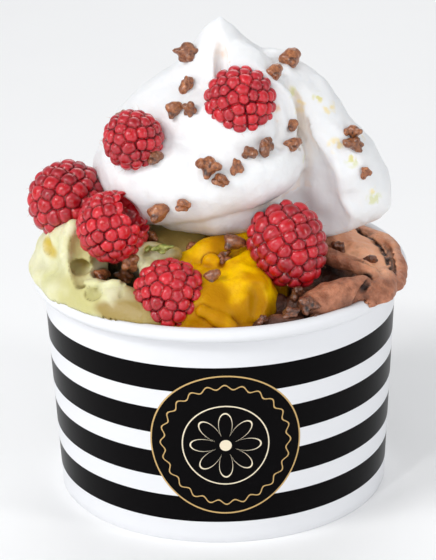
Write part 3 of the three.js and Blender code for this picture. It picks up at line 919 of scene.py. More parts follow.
@dataclass(frozen=True)
class PrintedPaper:
    """Coated board with four black bands and a round badge, printed round the cup."""

    paper: Colour = tint(224, 225, 228)
    ink: Colour = tint(5, 4, 5)
    gold: Colour = tint(196, 164, 110)
    pale: Colour = tint(228, 216, 190)
    first_band: float = 6.0
    pitch: float = 12.0
    band: float = 6.87
    bands: int = 4
    badge_level: float = 27.6
    badge_radius: float = 19.2
    badge_offset: float = 0.6
    gold_ring: float = 19.0
    wavy_ring: float = 16.0
    wave: float = 0.55
    pale_ring: float = 10.8
    heart: float = 1.5
    petals: int = 8
    petal_foot: float = 2.6
    petal_length: float = 6.2

    def make(self) -> bpy.types.Material:
        """The material."""
        recipe = Recipe("cup_paper")
        split = recipe.add("ShaderNodeSeparateXYZ", Vector=recipe.place)
        level = recipe.sum("MULTIPLY", split.outputs["Z"], 1 / MM)
        from_first = recipe.sum("SUBTRACT", level, self.first_band)
        in_pitch = recipe.sum("MODULO", from_first, self.pitch)
        bands = recipe.sum("MULTIPLY", recipe.sum("LESS_THAN", in_pitch, self.band),
                           recipe.sum("GREATER_THAN", from_first, 0.0))
        top = self.pitch * (self.bands - 1) + self.band
        bands = recipe.sum("MULTIPLY", bands, recipe.sum("LESS_THAN", from_first, top))
        colour = recipe.mix(bands, self.paper, self.ink)

        front = recipe.sum("MULTIPLY", split.outputs["Y"], -1.0)
        azimuth = recipe.sum("ARCTAN2", split.outputs["X"], front)
        round_cup = recipe.sum("MULTIPLY", azimuth, CUP.outer(self.badge_level))
        along = recipe.sum("SUBTRACT", round_cup, self.badge_offset)
        up = recipe.sum("SUBTRACT", level, self.badge_level)
        reach = recipe.sum("SQRT", recipe.sum("ADD", recipe.sum("MULTIPLY", along, along),
                                              recipe.sum("MULTIPLY", up, up)))
        turn = recipe.sum("ARCTAN2", up, along)
        colour = recipe.mix(recipe.sum("LESS_THAN", reach, self.badge_radius), colour, self.ink)
        ripple = recipe.sum("COSINE", recipe.sum("MULTIPLY", turn, 3.0 * self.petals))
        scallop = recipe.sum("SUBTRACT", reach, recipe.sum("MULTIPLY", ripple, self.wave))
        lobes = recipe.sum("COSINE", recipe.sum("MULTIPLY", turn, self.petals / 2))
        lobes = recipe.sum("POWER", recipe.sum("ABSOLUTE", lobes), 0.7)
        petal = recipe.sum("ADD", recipe.sum("MULTIPLY", lobes, self.petal_length), self.petal_foot)
        for from_line, radius, half, tone in (
            (reach, self.gold_ring, 0.19, self.gold),
            (scallop, self.wavy_ring, 0.17, self.gold),
            (recipe.sum("SUBTRACT", reach, petal), 0.0, 0.2, self.pale),
            (reach, self.pale_ring, 0.16, self.pale),
        ):
            colour = recipe.mix(self.ring(recipe, from_line, radius, half), colour, tone)
        colour = recipe.mix(recipe.sum("LESS_THAN", reach, self.heart), colour, self.pale)
        recipe.base(Base_Color=colour, Roughness=0.3, Specular_IOR_Level=0.05)
        recipe.relief(recipe.noise(1.3, 3), 0.012)
        return recipe.material

    @staticmethod
    def ring(recipe: Recipe, reach: bpy.types.NodeSocket, radius: float,
             half: float) -> bpy.types.NodeSocket:
        """1 on a ring of the given radius and half width, and 0 elsewhere.

        Args:
            recipe: the material's tree.
            reach: the distance from the ring's centre.
            radius: the ring's radius.
            half: half of its width.

        Returns:
            The mask.
        """
        off = recipe.sum("ABSOLUTE", recipe.sum("SUBTRACT", reach, radius))
        return recipe.sum("LESS_THAN", off, half)


# ------------------------------------------------------------------ the cup


@dataclass(frozen=True)
class PaperCup:
    """The printed paper cup: a wall, folded in at its foot and rolled out at its rim, and a floor.

    Attributes:
        sizes: the cup's sizes.
        sides, wall_steps, roll_steps: how many faces go round it, up its wall and along its roll.
        cut_edge: how far the board's edges are eased at the foot, in millimetres.
        first_level: the height of the wall's first points over the foot.
        sharp: the angle from which an edge of the wall is sharp.
    """

    sizes: CupSizes = CUP
    sides: int = 240
    wall_steps: int = 30
    roll_steps: int = 26
    cut_edge: float = 0.2
    first_level: float = 0.25
    sharp: float = math.radians(40)

    def profile(self) -> np.ndarray:
        """The wall's section, as radius and height."""
        s = self.sizes
        start = math.pi

        def arc(radius: float, steps: int, first: float, last: float) -> list[list[float]]:
            """Points on the roll's section."""
            return [[s.rim_radius + radius * math.cos(a), s.roll_level + radius * math.sin(a)]
                    for a in np.linspace(first, last, steps)]

        fold = s.foot_radius - s.wall - 2 * s.slit - s.skirt
        lowest = s.roll_level - s.roll_radius
        levels = np.linspace(self.first_level, lowest, self.wall_steps)
        outer_wall = [[s.outer(level), level] for level in levels]
        roll_in = arc(s.roll_radius - s.wall, self.roll_steps,
                      start + s.roll_tuck, start - s.roll_sweep)
        roll_out = arc(s.roll_radius, self.roll_steps, start - s.roll_sweep, start)
        return np.array([
            [s.foot_radius - self.cut_edge, 0.0],
            *outer_wall,
            *roll_in,
            *roll_out,
            [s.inner(lowest), lowest],
            [s.foot_radius - s.wall, s.wall],
            [fold, s.wall],
            [fold + s.flare * s.fold_height, s.fold_height],
            [fold - s.wall + s.flare * s.fold_height, s.fold_height],
            [fold - s.wall, self.cut_edge],
            [fold - s.wall + self.cut_edge, 0.0],
        ])

    def build(self) -> None:
        """Makes the wall, and dresses it and the floor."""
        profile = self.profile()
        turns = np.linspace(0, 2 * math.pi, self.sides, endpoint=False)
        points = np.array([[r * math.sin(a), -r * math.cos(a), z]
                           for a in turns for r, z in profile])
        n = len(profile)
        faces = [
            (i * n + j, ((i + 1) % self.sides) * n + j,
             ((i + 1) % self.sides) * n + (j + 1) % n, i * n + (j + 1) % n)
            for i in range(self.sides) for j in range(n)
        ]
        wall = new_piece("printed_cup", points, faces)
        wall.data.set_sharp_from_angle(angle=self.sharp)
        dress(wall, PrintedPaper().make(), "cup_paper", "cup_wall")
        plain = PlainFinish("floor_paper", tint(236, 236, 232), tint(228, 228, 224), 0.55)
        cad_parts["cup_floor"].data.materials.clear()
        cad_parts["cup_floor"].data.materials.append(plain.make())
        log.info("cup_floor: the packed solid, in plain paper")


# ------------------------------------------------------------------ raspberries


@dataclass(frozen=True)
class Hairs:
    """The fine hairs on a raspberry's drupelets, with their sizes in millimetres.

    Attributes:
        bare: the share of the drupelets that have none.
        shortest, longest: the range of their lengths.
        width: how far a hair's edges are from its middle at the root.
        thinning: the share of that width that it loses towards its end.
        rise, bend: how far a hair runs outwards and sideways, as shares of its length.
        sunk, aside: how deep, and how far beside the drupelet's top, its root is.
    """

    bare: float = 0.35
    shortest: float = 0.9
    longest: float = 1.7
    width: float = 0.05
    thinning: float = 0.75
    rise: float = 0.75
    bend: float = 0.65
    sunk: float = 0.15
    aside: float = 0.3

    EDGES = (0, 2.09, 4.19)

    def build(self, name: str, seed: int, centres: np.ndarray, radii: np.ndarray,
              place: Callable[[np.ndarray], np.ndarray], finish: bpy.types.Material) -> None:
        """Adds a fine hair on many of the drupelets.

        Args:
            name: the new piece's name.
            seed: the seed of their places and turns.
            centres: the drupelets' centres, in the raspberry's frame.
            radii: their radii.
            place: what brings points from the raspberry's frame to the cup's.
            finish: the hairs' material.
        """
        dice = np.random.default_rng(seed)
        strands, faces = [], []
        for centre, radius in zip(centres, radii):
            if dice.uniform() < self.bare:
                continue
            out = centre / max(np.linalg.norm(centre), TINY)
            lean = dice.normal(size=3)
            lean -= out * (lean @ out)
            lean /= np.linalg.norm(lean)
            base = centre + out * (radius - self.sunk) + lean * radius * self.aside
            length = dice.uniform(self.shortest, self.longest)
            side = np.cross(out, lean)
            first = len(strands)
            for k, share in enumerate((0.0, 0.5, 1.0)):
                at = base + out * length * share * self.rise + lean * length * self.bend * share**2
                width = self.width * (1 - self.thinning * share)
                for angle in self.EDGES:
                    strands.append(at + width * (side * math.cos(angle) + lean * math.sin(angle)))
                if k:
                    low = first + 3 * (k - 1)
                    for a in range(3):
                        b = (a + 1) % 3
                        faces.append((low + a, low + b, low + 3 + b, low + 3 + a))
            faces.append((first + 2, first + 1, first))
            faces.append((first + 6, first + 7, first + 8))
        dress(new_piece(name, place(np.array(strands)), faces), finish, "raspberry")


@dataclass(frozen=True)
class Raspberry:
    """One raspberry: staggered rings of drupelets round its axis, and a hollow where its stem was.

    Attributes:
        number: its number, from 1.
        centre: its middle, in millimetres.
        radius, half: half of its width, and half of its length.
        tip: where its tip points.
        opening: the hollow's radius, as a share of the raspberry's.
        drupelet: how far apart its drupelets are.
        taper: how much narrower it is at its tip, and wider at its stem end.
        ripe: how dark it is, from 0 to 1.
        gap, gap_width: how deep, and how wide, the line between two drupelets is.
        ring_pitch, plump, seat: how far apart the rings are, a drupelet's radius and how deep it
            sits, as shares of the drupelets' distance and, for the last, of that radius.
        core: how far inside the outline the core lies, as a share of the drupelets' distance.
        lip, lip_level, lip_half: how far the flesh round the hollow goes beyond it, in millimetres,
            and its level and half height, as shares of half the raspberry's length.
        hollow_half: half of the hollow's height, as such a share.
        bump_size, bump: how large, and how deep, the hollow's unevenness is, in millimetres.
        edge_reach: how far from the line between two drupelets "edge" reaches 1.
        step, room: the net's step, and how far it goes beyond the raspberry.
        batch: how many points are read at a time.
    """

    number: int
    centre: tuple[float, float, float]
    radius: float
    half: float
    tip: tuple[float, float, float]
    opening: float = 0.4
    drupelet: float = 3.3
    taper: float = 0.0
    ripe: float = 0.5
    gap: float = 0.26
    gap_width: float = 0.32
    ring_pitch: float = 0.86
    plump: float = 0.6
    seat: float = 0.8
    core: float = 0.72
    lip: float = 1.3
    lip_level: float = 0.4
    lip_half: float = 0.52
    hollow_half: float = 1.1
    bump_size: float = 1.5
    bump: float = 0.35
    edge_reach: float = 2.0
    step: float = 0.3
    room: float = 1.5
    batch: int = 40_000

    @property
    def outline(self) -> Distance:
        """The field of the raspberry's outline, without its drupelets."""
        turn = np.array(self.turn())
        plain = Blob((0, 0, 0), (self.radius, self.radius, self.half))

        def distance(points: np.ndarray) -> np.ndarray:
            """The distance from each point to the outline."""
            local = (points - np.array(self.centre)) @ turn
            girth = 1 - self.taper * np.clip(local[..., 2] / self.half, -1, 1)
            return plain.distance(local / np.stack([girth, girth, np.ones_like(girth)], axis=-1))

        return distance

    def turn(self) -> Matrix:
        """The turn that points +Z along the raspberry's tip."""
        return Vector((0, 0, 1)).rotation_difference(Vector(self.tip).normalized()).to_matrix()

    def placed(self, points: np.ndarray) -> np.ndarray:
        """Points of the raspberry's own frame, brought to its place on the cup."""
        return points @ np.array(self.turn()).T + np.array(self.centre)

    def seats(self) -> tuple[np.ndarray, np.ndarray]:
        """Where the drupelets sit, in the raspberry's own frame.

        Returns:
            Their centres, and their radii.
        """
        dice = np.random.default_rng(SEATS + self.number)
        arc = math.pi * (self.radius + self.half) / 2
        mouth = math.asin(self.opening)
        rings = max(5, round(arc * (1 - mouth / math.pi) / (self.drupelet * self.ring_pitch)))
        centres, radii = [], []
        for ring in range(rings + 1):
            angle = mouth + (math.pi - mouth) * ring / rings
            reach = 1 / math.hypot(math.sin(angle) / self.radius, math.cos(angle) / self.half)
            around = 2 * math.pi * reach * math.sin(angle)
            count = max(1, round(around / self.drupelet))
            phase = dice.uniform(0, 2 * math.pi)
            for k in range(count):
                size = self.drupelet * self.plump * dice.uniform(0.84, 1.16)
                sideways = phase + 2 * math.pi * k / count
                sideways += dice.uniform(-0.25, 0.25) / max(reach, 1)
                slant = angle + dice.uniform(-0.3, 0.3) / reach
                out = reach - size * self.seat
                level = -out * math.cos(slant)
                girth = out * math.sin(slant) * (1 - self.taper * level / self.half)
                centres.append([girth * math.cos(sideways), girth * math.sin(sideways), level])
                radii.append(size)
        return np.array(centres), np.array(radii)

    def build(self, finish: bpy.types.Material, hair_finish: bpy.types.Material) -> None:
        """Makes the raspberry and its hairs.

        Args:
            finish: the raspberry's material.
            hair_finish: the hairs' material.
        """
        centres, radii = self.seats()
        sizes = np.array([self.radius, self.radius, self.half])
        core = Blob((0, 0, 0), tuple(sizes - self.drupelet * self.core))
        mouth = self.radius * self.opening
        flesh = Blob((0, 0, -self.half * self.lip_level),
                     (mouth + self.lip, mouth + self.lip, self.half * self.lip_half))
        hollow = Blob((0, 0, -self.half), (mouth, mouth, self.half * self.hollow_half))
        bumps = Grain(self.bump_size, BUMPS + self.number)

        def distance(points: np.ndarray) -> np.ndarray:
            """The raspberry's field in its own frame."""
            flat = points.reshape(-1, 3)
            nearest = np.empty(len(flat))
            lengths = (centres**2).sum(axis=1)
            for start in range(0, len(flat), self.batch):
                part = flat[start : start + self.batch]
                square = (part**2).sum(axis=1)[:, None] + lengths - 2 * part @ centres.T
                apart = np.sqrt(np.maximum(square, 0)) - radii
                two = np.partition(apart, 1, axis=1)
                crease = self.gap * np.exp(-(((two[:, 1] - two[:, 0]) / self.gap_width) ** 2))
                nearest[start : start + self.batch] = two[:, 0] + crease
            whole = soften(soften(nearest, core.distance(flat), 0.3), flesh.distance(flat), 0.4)
            inside = hollow.distance(flat) + self.bump * bumps.at(flat)
            return -soften(-whole, inside, 0.5).reshape(points.shape[:-1])

        reach = max(self.radius, self.half) + self.room
        net = Net.over((-reach,) * 3, (reach,) * 3, self.step)
        points, faces = net.skin(distance)
        points = settle(distance, points)
        apart = np.linalg.norm(points[:, None] - centres[None], axis=-1) - radii
        nearest = apart.argmin(axis=1)
        two = np.partition(apart, 1, axis=1)
        tones = np.random.default_rng(TONES + self.number).uniform(0, 0.75, len(centres))
        tones = tones + 0.3 * (1 - self.ripe)
        berry = new_piece(f"raspberry_{self.number}_fruit", self.placed(points), faces)
        paint(berry, "open", openness(distance, points, 0.6))
        paint(berry, "edge", np.clip((two[:, 1] - two[:, 0]) / self.edge_reach, 0, 1))
        paint(berry, "tone", tones[nearest])
        dress(berry, finish, "raspberry", f"raspberry_{self.number}")
        Hairs().build(f"raspberry_{self.number}_hairs", HAIRS + self.number, centres, radii,
                      self.placed, hair_finish)


RASPBERRIES = (
    Raspberry(1, (5.9, -15, 107.1), 8.7, 8.4, (0.1, -0.9, 0.35), drupelet=3.4, ripe=0.1),
    Raspberry(2, (-20.6, -17, 98.4), 7.3, 7.6, (-0.4, -0.8, 0.3), drupelet=3.3, ripe=0.6),
    Raspberry(3, (-38, -6, 79.1), 9.7, 10.2, (-0.6, -0.7, -0.2), drupelet=4.1, ripe=0.9),
    Raspberry(4, (-26.3, -22, 77.6), 8.8, 8.8, (-0.6, 0.1, -0.45), 0.62, drupelet=3.6, ripe=0),
    Raspberry(5, (-12.3, -34.5, 63.9), 9, 8.6, (0.25, -0.9, 0.35), drupelet=3.7, ripe=0.3),
    Raspberry(6, (17, -24, 72.6), 9.4, 11, (0.42, -0.4, -0.82), drupelet=4.3, taper=0.16, ripe=1),
)


# ------------------------------------------------------------------ crunch pieces


@dataclass(frozen=True)
class CrunchLump:
    """One shape of crunch piece, a millimetre across: a few crumbs baked together.

    Attributes:
        number: its number, from nought.
        crumbs: how many crumbs are baked to the middle one.
        middle: the middle crumb's radii.
        pits: the size, seed and depth of each unevenness of its skin.
        step, reach: the net's step, and how far it goes to each side.
    """

    number: int
    crumbs: int = 4
    middle: tuple[float, float, float] = (0.31, 0.27, 0.3)
    pits: tuple[tuple[float, int, float], ...] = ((0.22, 31, 0.05), (0.1, 47, 0.02))
    step: float = 0.075
    reach: float = 0.75

    def build(self, holder: bpy.types.Collection, finish: bpy.types.Material) -> None:
        """Makes the lump in a collection that the scattering picks from.

        Args:
            holder: the collection.
            finish: the lump's material.
        """
        dice = np.random.default_rng(LUMPS + self.number)
        crumbs = [Blob((0, 0, 0), self.middle)]
        for k in range(self.crumbs):
            way = dice.uniform(0, 0.9) + 2 * math.pi * k / self.crumbs
            out = dice.uniform(0.17, 0.27)
            centre = (out * math.cos(way), dice.uniform(-0.2, 0.05), out * math.sin(way))
            crumbs.append(Blob(centre, tuple(dice.uniform(0.15, 0.25, 3)), 0.015))
        smooth = pile(crumbs)

        def distance(points: np.ndarray) -> np.ndarray:
            """The lump's field, with its pitted skin."""
            whole = smooth(points)
            for size, seed, depth in self.pits:
                whole = whole + depth * Grain(size, seed + self.number).at(points)
            return whole

        points, faces = Net.over((-self.reach,) * 3, (self.reach,) * 3, self.step).skin(distance)
        lump = new_piece(f"lump_{self.number}", points, faces)
        paint(lump, "open", openness(distance, points, 0.1))
        lump.data.materials.append(finish)
        bpy.context.scene.collection.objects.unlink(lump)
        holder.objects.link(lump)


class CrunchScatter:
    """Sets crunch pieces on the food, each with its own shape, size, turn and tone."""

    SHAPES = 6
    GROWTH = 1.4  # a shape fills less than its box, so it is made larger than the stated size
    LIFT = 0.22  # how far a piece's middle stands off the food, as a share of its size
    TILT = 0.5  # the most that it is turned, in radians

    def __init__(self, finish: bpy.types.Material) -> None:
        """Makes the shapes and the tree that places them.

        Args:
            finish: the crunch pieces' material.
        """
        self.finish = finish
        self.holder = bpy.data.collections.new("crunch_shapes")
        for number in range(self.SHAPES):
            CrunchLump(number, crumbs=3 + number % 3).build(self.holder, finish)
        self.tree = self._tree()

    def _tree(self) -> bpy.types.NodeTree:
        """The tree that sets a lump on each point, by the point's own numbers."""
        tree = bpy.data.node_groups.new("crunch_scatter", "GeometryNodeTree")
        for name, way, kind in (
            ("Geometry", "INPUT", "Geometry"),
            ("Size", "INPUT", "Float"),
            ("Material", "INPUT", "Material"),
            ("Geometry", "OUTPUT", "Geometry"),
        ):
            tree.interface.new_socket(name, in_out=way, socket_type=f"NodeSocket{kind}")
        add, link = tree.nodes.new, tree.links.new
        given, result = add("NodeGroupInput"), add("NodeGroupOutput")

        def stored(name: str, kind: str) -> bpy.types.NodeSocket:
            """A number or direction that each point carries."""
            node = add("GeometryNodeInputNamedAttribute")
            node.data_type = kind
            node.inputs["Name"].default_value = name
            return node.outputs["Attribute"]

        shapes = add("GeometryNodeCollectionInfo")
        shapes.inputs["Collection"].default_value = self.holder
        for choice in ("Separate Children", "Reset Children"):
            shapes.inputs[choice].default_value = True
        place = add("GeometryNodeInstanceOnPoints")
        place.inputs["Pick Instance"].default_value = True
        scale = add("ShaderNodeVectorMath")
        scale.operation = "SCALE"
        realize, coat = add("GeometryNodeRealizeInstances"), add("GeometryNodeSetMaterial")
        for source, target in (
            (stored("size", "FLOAT_VECTOR"), scale.inputs[0]),
            (given.outputs["Size"], scale.inputs["Scale"]),
            (given.outputs["Geometry"], place.inputs["Points"]),
            (shapes.outputs["Instances"], place.inputs["Instance"]),
            (stored("kind", "INT"), place.inputs["Instance Index"]),
            (stored("turn", "FLOAT_VECTOR"), place.inputs["Rotation"]),
            (scale.outputs["Vector"], place.inputs["Scale"]),
            (given.outputs["Material"], coat.inputs["Material"]),
            (place.outputs["Instances"], realize.inputs["Geometry"]),
            (realize.outputs["Geometry"], coat.inputs["Geometry"]),
            (coat.outputs["Geometry"], result.inputs["Geometry"]),
        ):
            link(source, target)
        return tree

    def lay(self, name: str, distance: Distance, spots: Sequence[Sequence[float]], seed: int,
            slot: str, finish: Optional[bpy.types.Material] = None) -> bpy.types.Object:
        """Lays crunch pieces on a food.

        Args:
            name: the new piece's name.
            distance: the food's field.
            spots: x, y, z, width and height of each piece, in millimetres.
            seed: the seed of their turns and tones.
            slot: handed on to dress, which does not use it.
            finish: their material, if they are not crunch pieces.

        Returns:
            The pieces as one mesh.
        """
        finish = finish or self.finish
        dice = np.random.default_rng(seed)
        given = np.array(spots, float)
        seats = settle(distance, given[:, :3], passes=6, reach=2.0)
        lift = self.LIFT * np.minimum(given[:, 3], given[:, 4])
        seats = seats + slopes(distance, seats) * lift[:, None]
        mesh = bpy.data.meshes.new(name)
        mesh.from_pydata((seats * MM).tolist(), [], [])
        widths, heights = given[:, 3] * self.GROWTH, given[:, 4] * self.GROWTH
        sizes = np.stack([widths, (widths + heights) / 2, heights], axis=-1)
        turns = dice.uniform(-self.TILT, self.TILT, (len(given), 3))
        for key, kind, values in (
            ("size", "FLOAT_VECTOR", sizes),
            ("turn", "FLOAT_VECTOR", turns),
            ("kind", "INT", dice.integers(0, self.SHAPES, len(given))),
            ("tone", "FLOAT", dice.uniform(0, 1, len(given))),
        ):
            attribute = mesh.attributes.new(key, kind, "POINT")
            part = "vector" if kind == "FLOAT_VECTOR" else "value"
            attribute.data.foreach_set(part, values.ravel())
        seed_points = bpy.data.objects.new(name + "_seats", mesh)
        bpy.context.scene.collection.objects.link(seed_points)
        modifier = seed_points.modifiers.new("scatter", "NODES")
        modifier.node_group = self.tree
        sockets = {item.name: item.identifier for item in self.tree.interface.items_tree}
        modifier[sockets["Size"]] = 1.0
        modifier[sockets["Material"]] = finish
        evaluated = seed_points.evaluated_get(bpy.context.evaluated_depsgraph_get())
        result = bpy.data.meshes.new_from_object(evaluated)
        piece = bpy.data.objects.new(name, result)
        bpy.context.scene.collection.objects.link(piece)
        bpy.data.objects.remove(seed_points)
        result.polygons.foreach_set("use_smooth", [True] * len(result.polygons))
        return dress(piece, finish, slot)


# ------------------------------------------------------------------ the foods


def berries_apart(points: np.ndarray) -> np.ndarray:
    """The distance to the nearest raspberry's outline.

    Args:
        points: the points.

    Returns:
        The distances.
    """
    return np.minimum.reduce([berry.outline(points) for berry in RASPBERRIES])


@dataclass(frozen=True)
class ColourPatch:
    """A patch of colour on a food: smeared syrups or melted gelato, or painted shade or painted
    light.

    Attributes:
        patch_kind: what it is.
        centre, radius: its place and its size, in millimetres.
        grain, patchy: how large, and how deep, the breaks in it are.
    """

    patch_kind: PatchKind
    centre: tuple[float, float, float]
    radius: float
    grain: float = 4.0
    patchy: float = 0.25

    SPREAD = np.array([1.0, 0.4, 1.2])
    SEED = 61

    def share(self, points: np.ndarray) -> np.ndarray:
        """How strongly each point takes the patch's colour, from 0 to 1."""
        apart = np.linalg.norm((points - np.array(self.centre)) * self.SPREAD, axis=-1)
        broken = 1 - self.patchy * (1 - 1.6 * Grain(self.grain, self.SEED).at(points))
        return np.clip(1 - apart / self.radius, 0, 1) * np.clip(broken, 0, 1)


@dataclass(frozen=True)
class Speck(ColourPatch):
    """A smear that is broken into small specks."""

    grain: float = 0.9
    patchy: float = 0.55


def patches(kind: type[ColourPatch], patch_kind: PatchKind,
           *spots: tuple[float, float, float, float]) -> tuple[ColourPatch, ...]:
    """Several patches of one kind.

    Args:
        kind: the class of patch.
        patch_kind: what they are.
        spots: x, y, z and radius of each, in millimetres.

    Returns:
        The smears.
    """
    return tuple(kind(patch_kind, spot[:3], spot[3]) for spot in spots)


def paint_colour_patches(piece: bpy.types.Object, points: np.ndarray, colour_patches: Sequence[ColourPatch]) -> None:
    """Stores how strongly each kind of patch colours each point of a piece.

    Args:
        piece: the piece.
        points: its points, in millimetres.
        colour_patches: the smeared syrups and the patches of painted shade and light on it.
    """
    for patch_kind in PatchKind:
        spots = [stain.share(points) for stain in colour_patches if stain.patch_kind is patch_kind]
        if spots:
            paint(piece, patch_kind.value, np.maximum.reduce(spots))


@dataclass(frozen=True)
class WhippedCream:
    """The swirl of whipped cream and the crunch pieces on it.

    Attributes:
        forms: the piped turns and the peak, laid or carved one after another.
        wing: the tail that hangs down to the right, and what is carved out beside it.
        seam: how softly the wing meets the turns.
        fine: the thin folds on the whole.
        crunch: x, y, z, width and height of each crunch piece.
        colour_patches: the specks of syrups on it.
        step: the net's step.
        low, high: the corners of the box that holds it.
        press: how far it is pressed into the raspberries' outlines.
        crease: how deep the openness that sets its painted crease shade is read.
        uneven: the size, seed and depth of each unevenness of its skin.
    """

    forms: tuple[Form, ...] = (
        Blob((0, 8, 86), (29, 25, 18)),
        Strand(((-5.2, 3, 102.8, 10), (-9.5, 2, 96.5, 12.8), (-13.8, 2, 88.5, 13.8)), 8),
        Strand(((-10, -11, 79.5, 7), (0, -14, 79.3, 7.4), (9, -13, 79.3, 6.8)), 1),
        Strand(((-18, 14, 84, 11), (-20, 2, 85.5, 11.3), (-16, -11, 86.2, 11.3),
                (-6, -17.5, 87.5, 9.8), (4, -18.5, 88.9, 8.9), (11, -16.5, 90, 8.2),
                (14, -10, 90.8, 8), (13, 0, 92, 8)), 0.4),
        Strand(((2, 0, 117, 4.2), (5.4, 2, 111.8, 6.4), (10.5, 4, 107, 7.8)), 1.5),
        Strand(((2.5, -2, 115, 5.6), (6, -5, 109, 9.5), (7, -8, 101, 12.3), (3, -10.5, 96.8, 12.5),
                (-6, -6, 97.5, 11)), 2),
        Strand(((0, 1, 108, 10), (0.3, 0.6, 113, 7.5), (1, 0.2, 119, 4), (1.4, 0, 123.8, 0.5)), 3),
        Strand(((1.2, -4.6, 121, 0.4), (1.6, -7.6, 116.5, 1.9), (2.4, -13, 110, 2.8)), 1, True),
    )
    wing: tuple[Form, ...] = (
        Strand(((14, 4, 107, 8), (21, 0, 101.5, 9), (25.4, -3.6, 94, 9.6), (30.2, -3.8, 86, 11),
                (33.2, -3.2, 80.6, 10.6)), 1),
        Blob((24, 10, 81), (14, 15, 14), 4),
        Strand(((20, -9, 75, 6.5), (27, -10, 75.5, 5.8), (33, -9.5, 76.4, 5.2),
                (38.5, -7, 77.8, 4.6)), 3),
        Strand(((15, -16, 98, 5.5), (17.8, -16, 92, 8.4), (20.3, -18, 85, 9.8),
                (21.5, -19.5, 80, 10.6), (24, -22.5, 75, 12), (26, -27, 67, 14)), 0.8, True),
        Strand(((14, -5.5, 112, 1.5), (20.4, -7, 104.5, 2.6), (22.2, -9, 98, 3.2),
                (22, -11, 92, 3)), 1.2, True),
    )
    seam: float = 0.5
    fine: tuple[Form, ...] = (
        Strand(((17, -3.5, 110.5, 2.4), (20.8, -5, 106, 3.6), (22.4, -5.8, 101.5, 4),
                (23.6, -6.4, 97.5, 3.4), (24, -7, 93.5, 2)), 1.5),
        Strand(((23.4, -6.5, 93, 1.5), (24.6, -8, 88, 2.2), (25.2, -8.4, 83, 2.4),
                (26.4, -9, 79, 2)), 3),
        Strand(((9.6, -11, 114.6, 0.8), (12.2, -11.8, 112.2, 1.2), (14.8, -12, 109.7, 1.4),
                (17.2, -11.2, 106.6, 1.5), (18.4, -11.4, 102.4, 1.5), (18.4, -12.4, 97.8, 1.5),
                (17.2, -17.6, 95.6, 1.3), (15.4, -20.8, 94.4, 0.9)), 0.8),
        Strand(((12.8, -15.8, 109.2, 0.9), (14.8, -16.4, 106.4, 1.4), (15.9, -16.8, 103, 1.5),
                (16.2, -17.1, 100, 1.4), (15.4, -19, 97.4, 0.9)), 1.5, True),
        Strand(((16.6, -8.4, 110.7, 0.8), (19.6, -8.8, 106, 1), (20.8, -9.6, 101.5, 1.1),
                (21, -10.4, 97.6, 1.1), (19.6, -13.8, 94.4, 1)), 0.4, True),
        Strand(((25, -11.4, 98.2, 0.7), (27.4, -12.3, 95.5, 1), (29.3, -13.1, 91.8, 1.2),
                (30.5, -13.9, 87.3, 1.2), (31, -13.4, 81.9, 1.2), (32.9, -13.9, 77.8, 1.2),
                (36.8, -11.8, 74.2, 1)), 0.8),
    )
    crunch: tuple[tuple[float, ...], ...] = (
        (-6.5, -2, 115.6, 5.6, 4), (18.6, -0.7, 113.1, 5.6, 5.8), (14.6, -10.8, 113.2, 4.6, 4.6),
        (-6.9, -7.5, 108.8, 3.8, 4.4), (-10.7, -14.3, 105.6, 4, 4.8),
        (-6.7, -15.6, 105.9, 3.2, 3.7), (-24.2, -2.9, 100.3, 3.4, 3.4),
        (-15.3, -21.1, 94.8, 4.4, 4.2), (-1.8, -25.3, 93.6, 5, 5.6), (0.8, -27.2, 91.3, 4.2, 2.8),
        (4.7, -25.7, 93.6, 2.8, 3.8), (8.2, -22.9, 96.1, 3.6, 3.2), (11.5, -21.2, 97.3, 4, 4.4),
        (21.3, -15.1, 100.5, 2.8, 3.5), (21.1, -18.4, 98.2, 4.8, 3.8), (34.6, -10.4, 97.6, 4, 4.2),
        (35.4, -13.9, 95.5, 5.2, 3.2), (38.8, -15.9, 88.1, 2.6, 2.8), (-8.6, -27.3, 85.1, 3.8, 3),
        (-14.8, -24.9, 82.3, 5.2, 5.2),
    )
    colour_patches: tuple[ColourPatch, ...] = (
        *patches(Speck, PatchKind.CARAMEL_AND_SHADE, (14.7, -14, 104.9, 2.2), (13.7, -14, 101.8, 2.2),
                (19.7, -10, 89.9, 2.6), (1.7, -9, 117.0, 2.6), (2.1, -11, 115.6, 2.4)),
        *patches(Speck, PatchKind.PISTACHIO, (20.7, -10, 90.7, 2.6), (18.9, -8, 107.1, 2.6),
                (25.3, -8, 105.6, 2.2), (33.5, -13, 90.4, 3), (39.1, -12, 80.1, 3.2),
                (11.1, -6, 114.4, 2.4)),
        *patches(Speck, PatchKind.MANGO, (20.3, -9, 103.7, 3), (28.3, -10, 102.8, 3),
                (25.5, -9, 105.4, 2.2), (29.6, -14, 94.7, 3.4), (33.5, -13, 91.1, 2.2),
                (37.2, -9, 95.0, 2.2), (10.6, -6, 113.9, 2), (39.1, -12, 82.2, 2)),
    )
    step: float = 0.62
    low: tuple[float, float, float] = (-37, -33, 64)
    high: tuple[float, float, float] = (48, 37, 125.5)
    press: float = 0.9
    crease: float = 2.4
    uneven: tuple[tuple[float, int, float], ...] = ((9, 3, 0.4), (3.4, 5, 0.2), (1.7, 7, 0.1))

    @property
    def bulk(self) -> Distance:
        """The swirl's plain field, which the gelato lies against."""
        swirl, wing = pile(self.forms), pile(self.wing)
        return lambda points: soften(swirl(points), wing(points), self.seam)

    @property
    def surface(self) -> Distance:
        """The swirl's field with its fine folds, pressed in by the raspberries."""
        whole = pile(self.fine, self.bulk)

        def distance(points: np.ndarray) -> np.ndarray:
            """The distance from each point to the swirl."""
            uneven = sum(depth * Grain(size, seed).at(points) for size, seed, depth in self.uneven)
            return np.maximum(whole(points) + uneven, -self.press - berries_apart(points))

        return distance

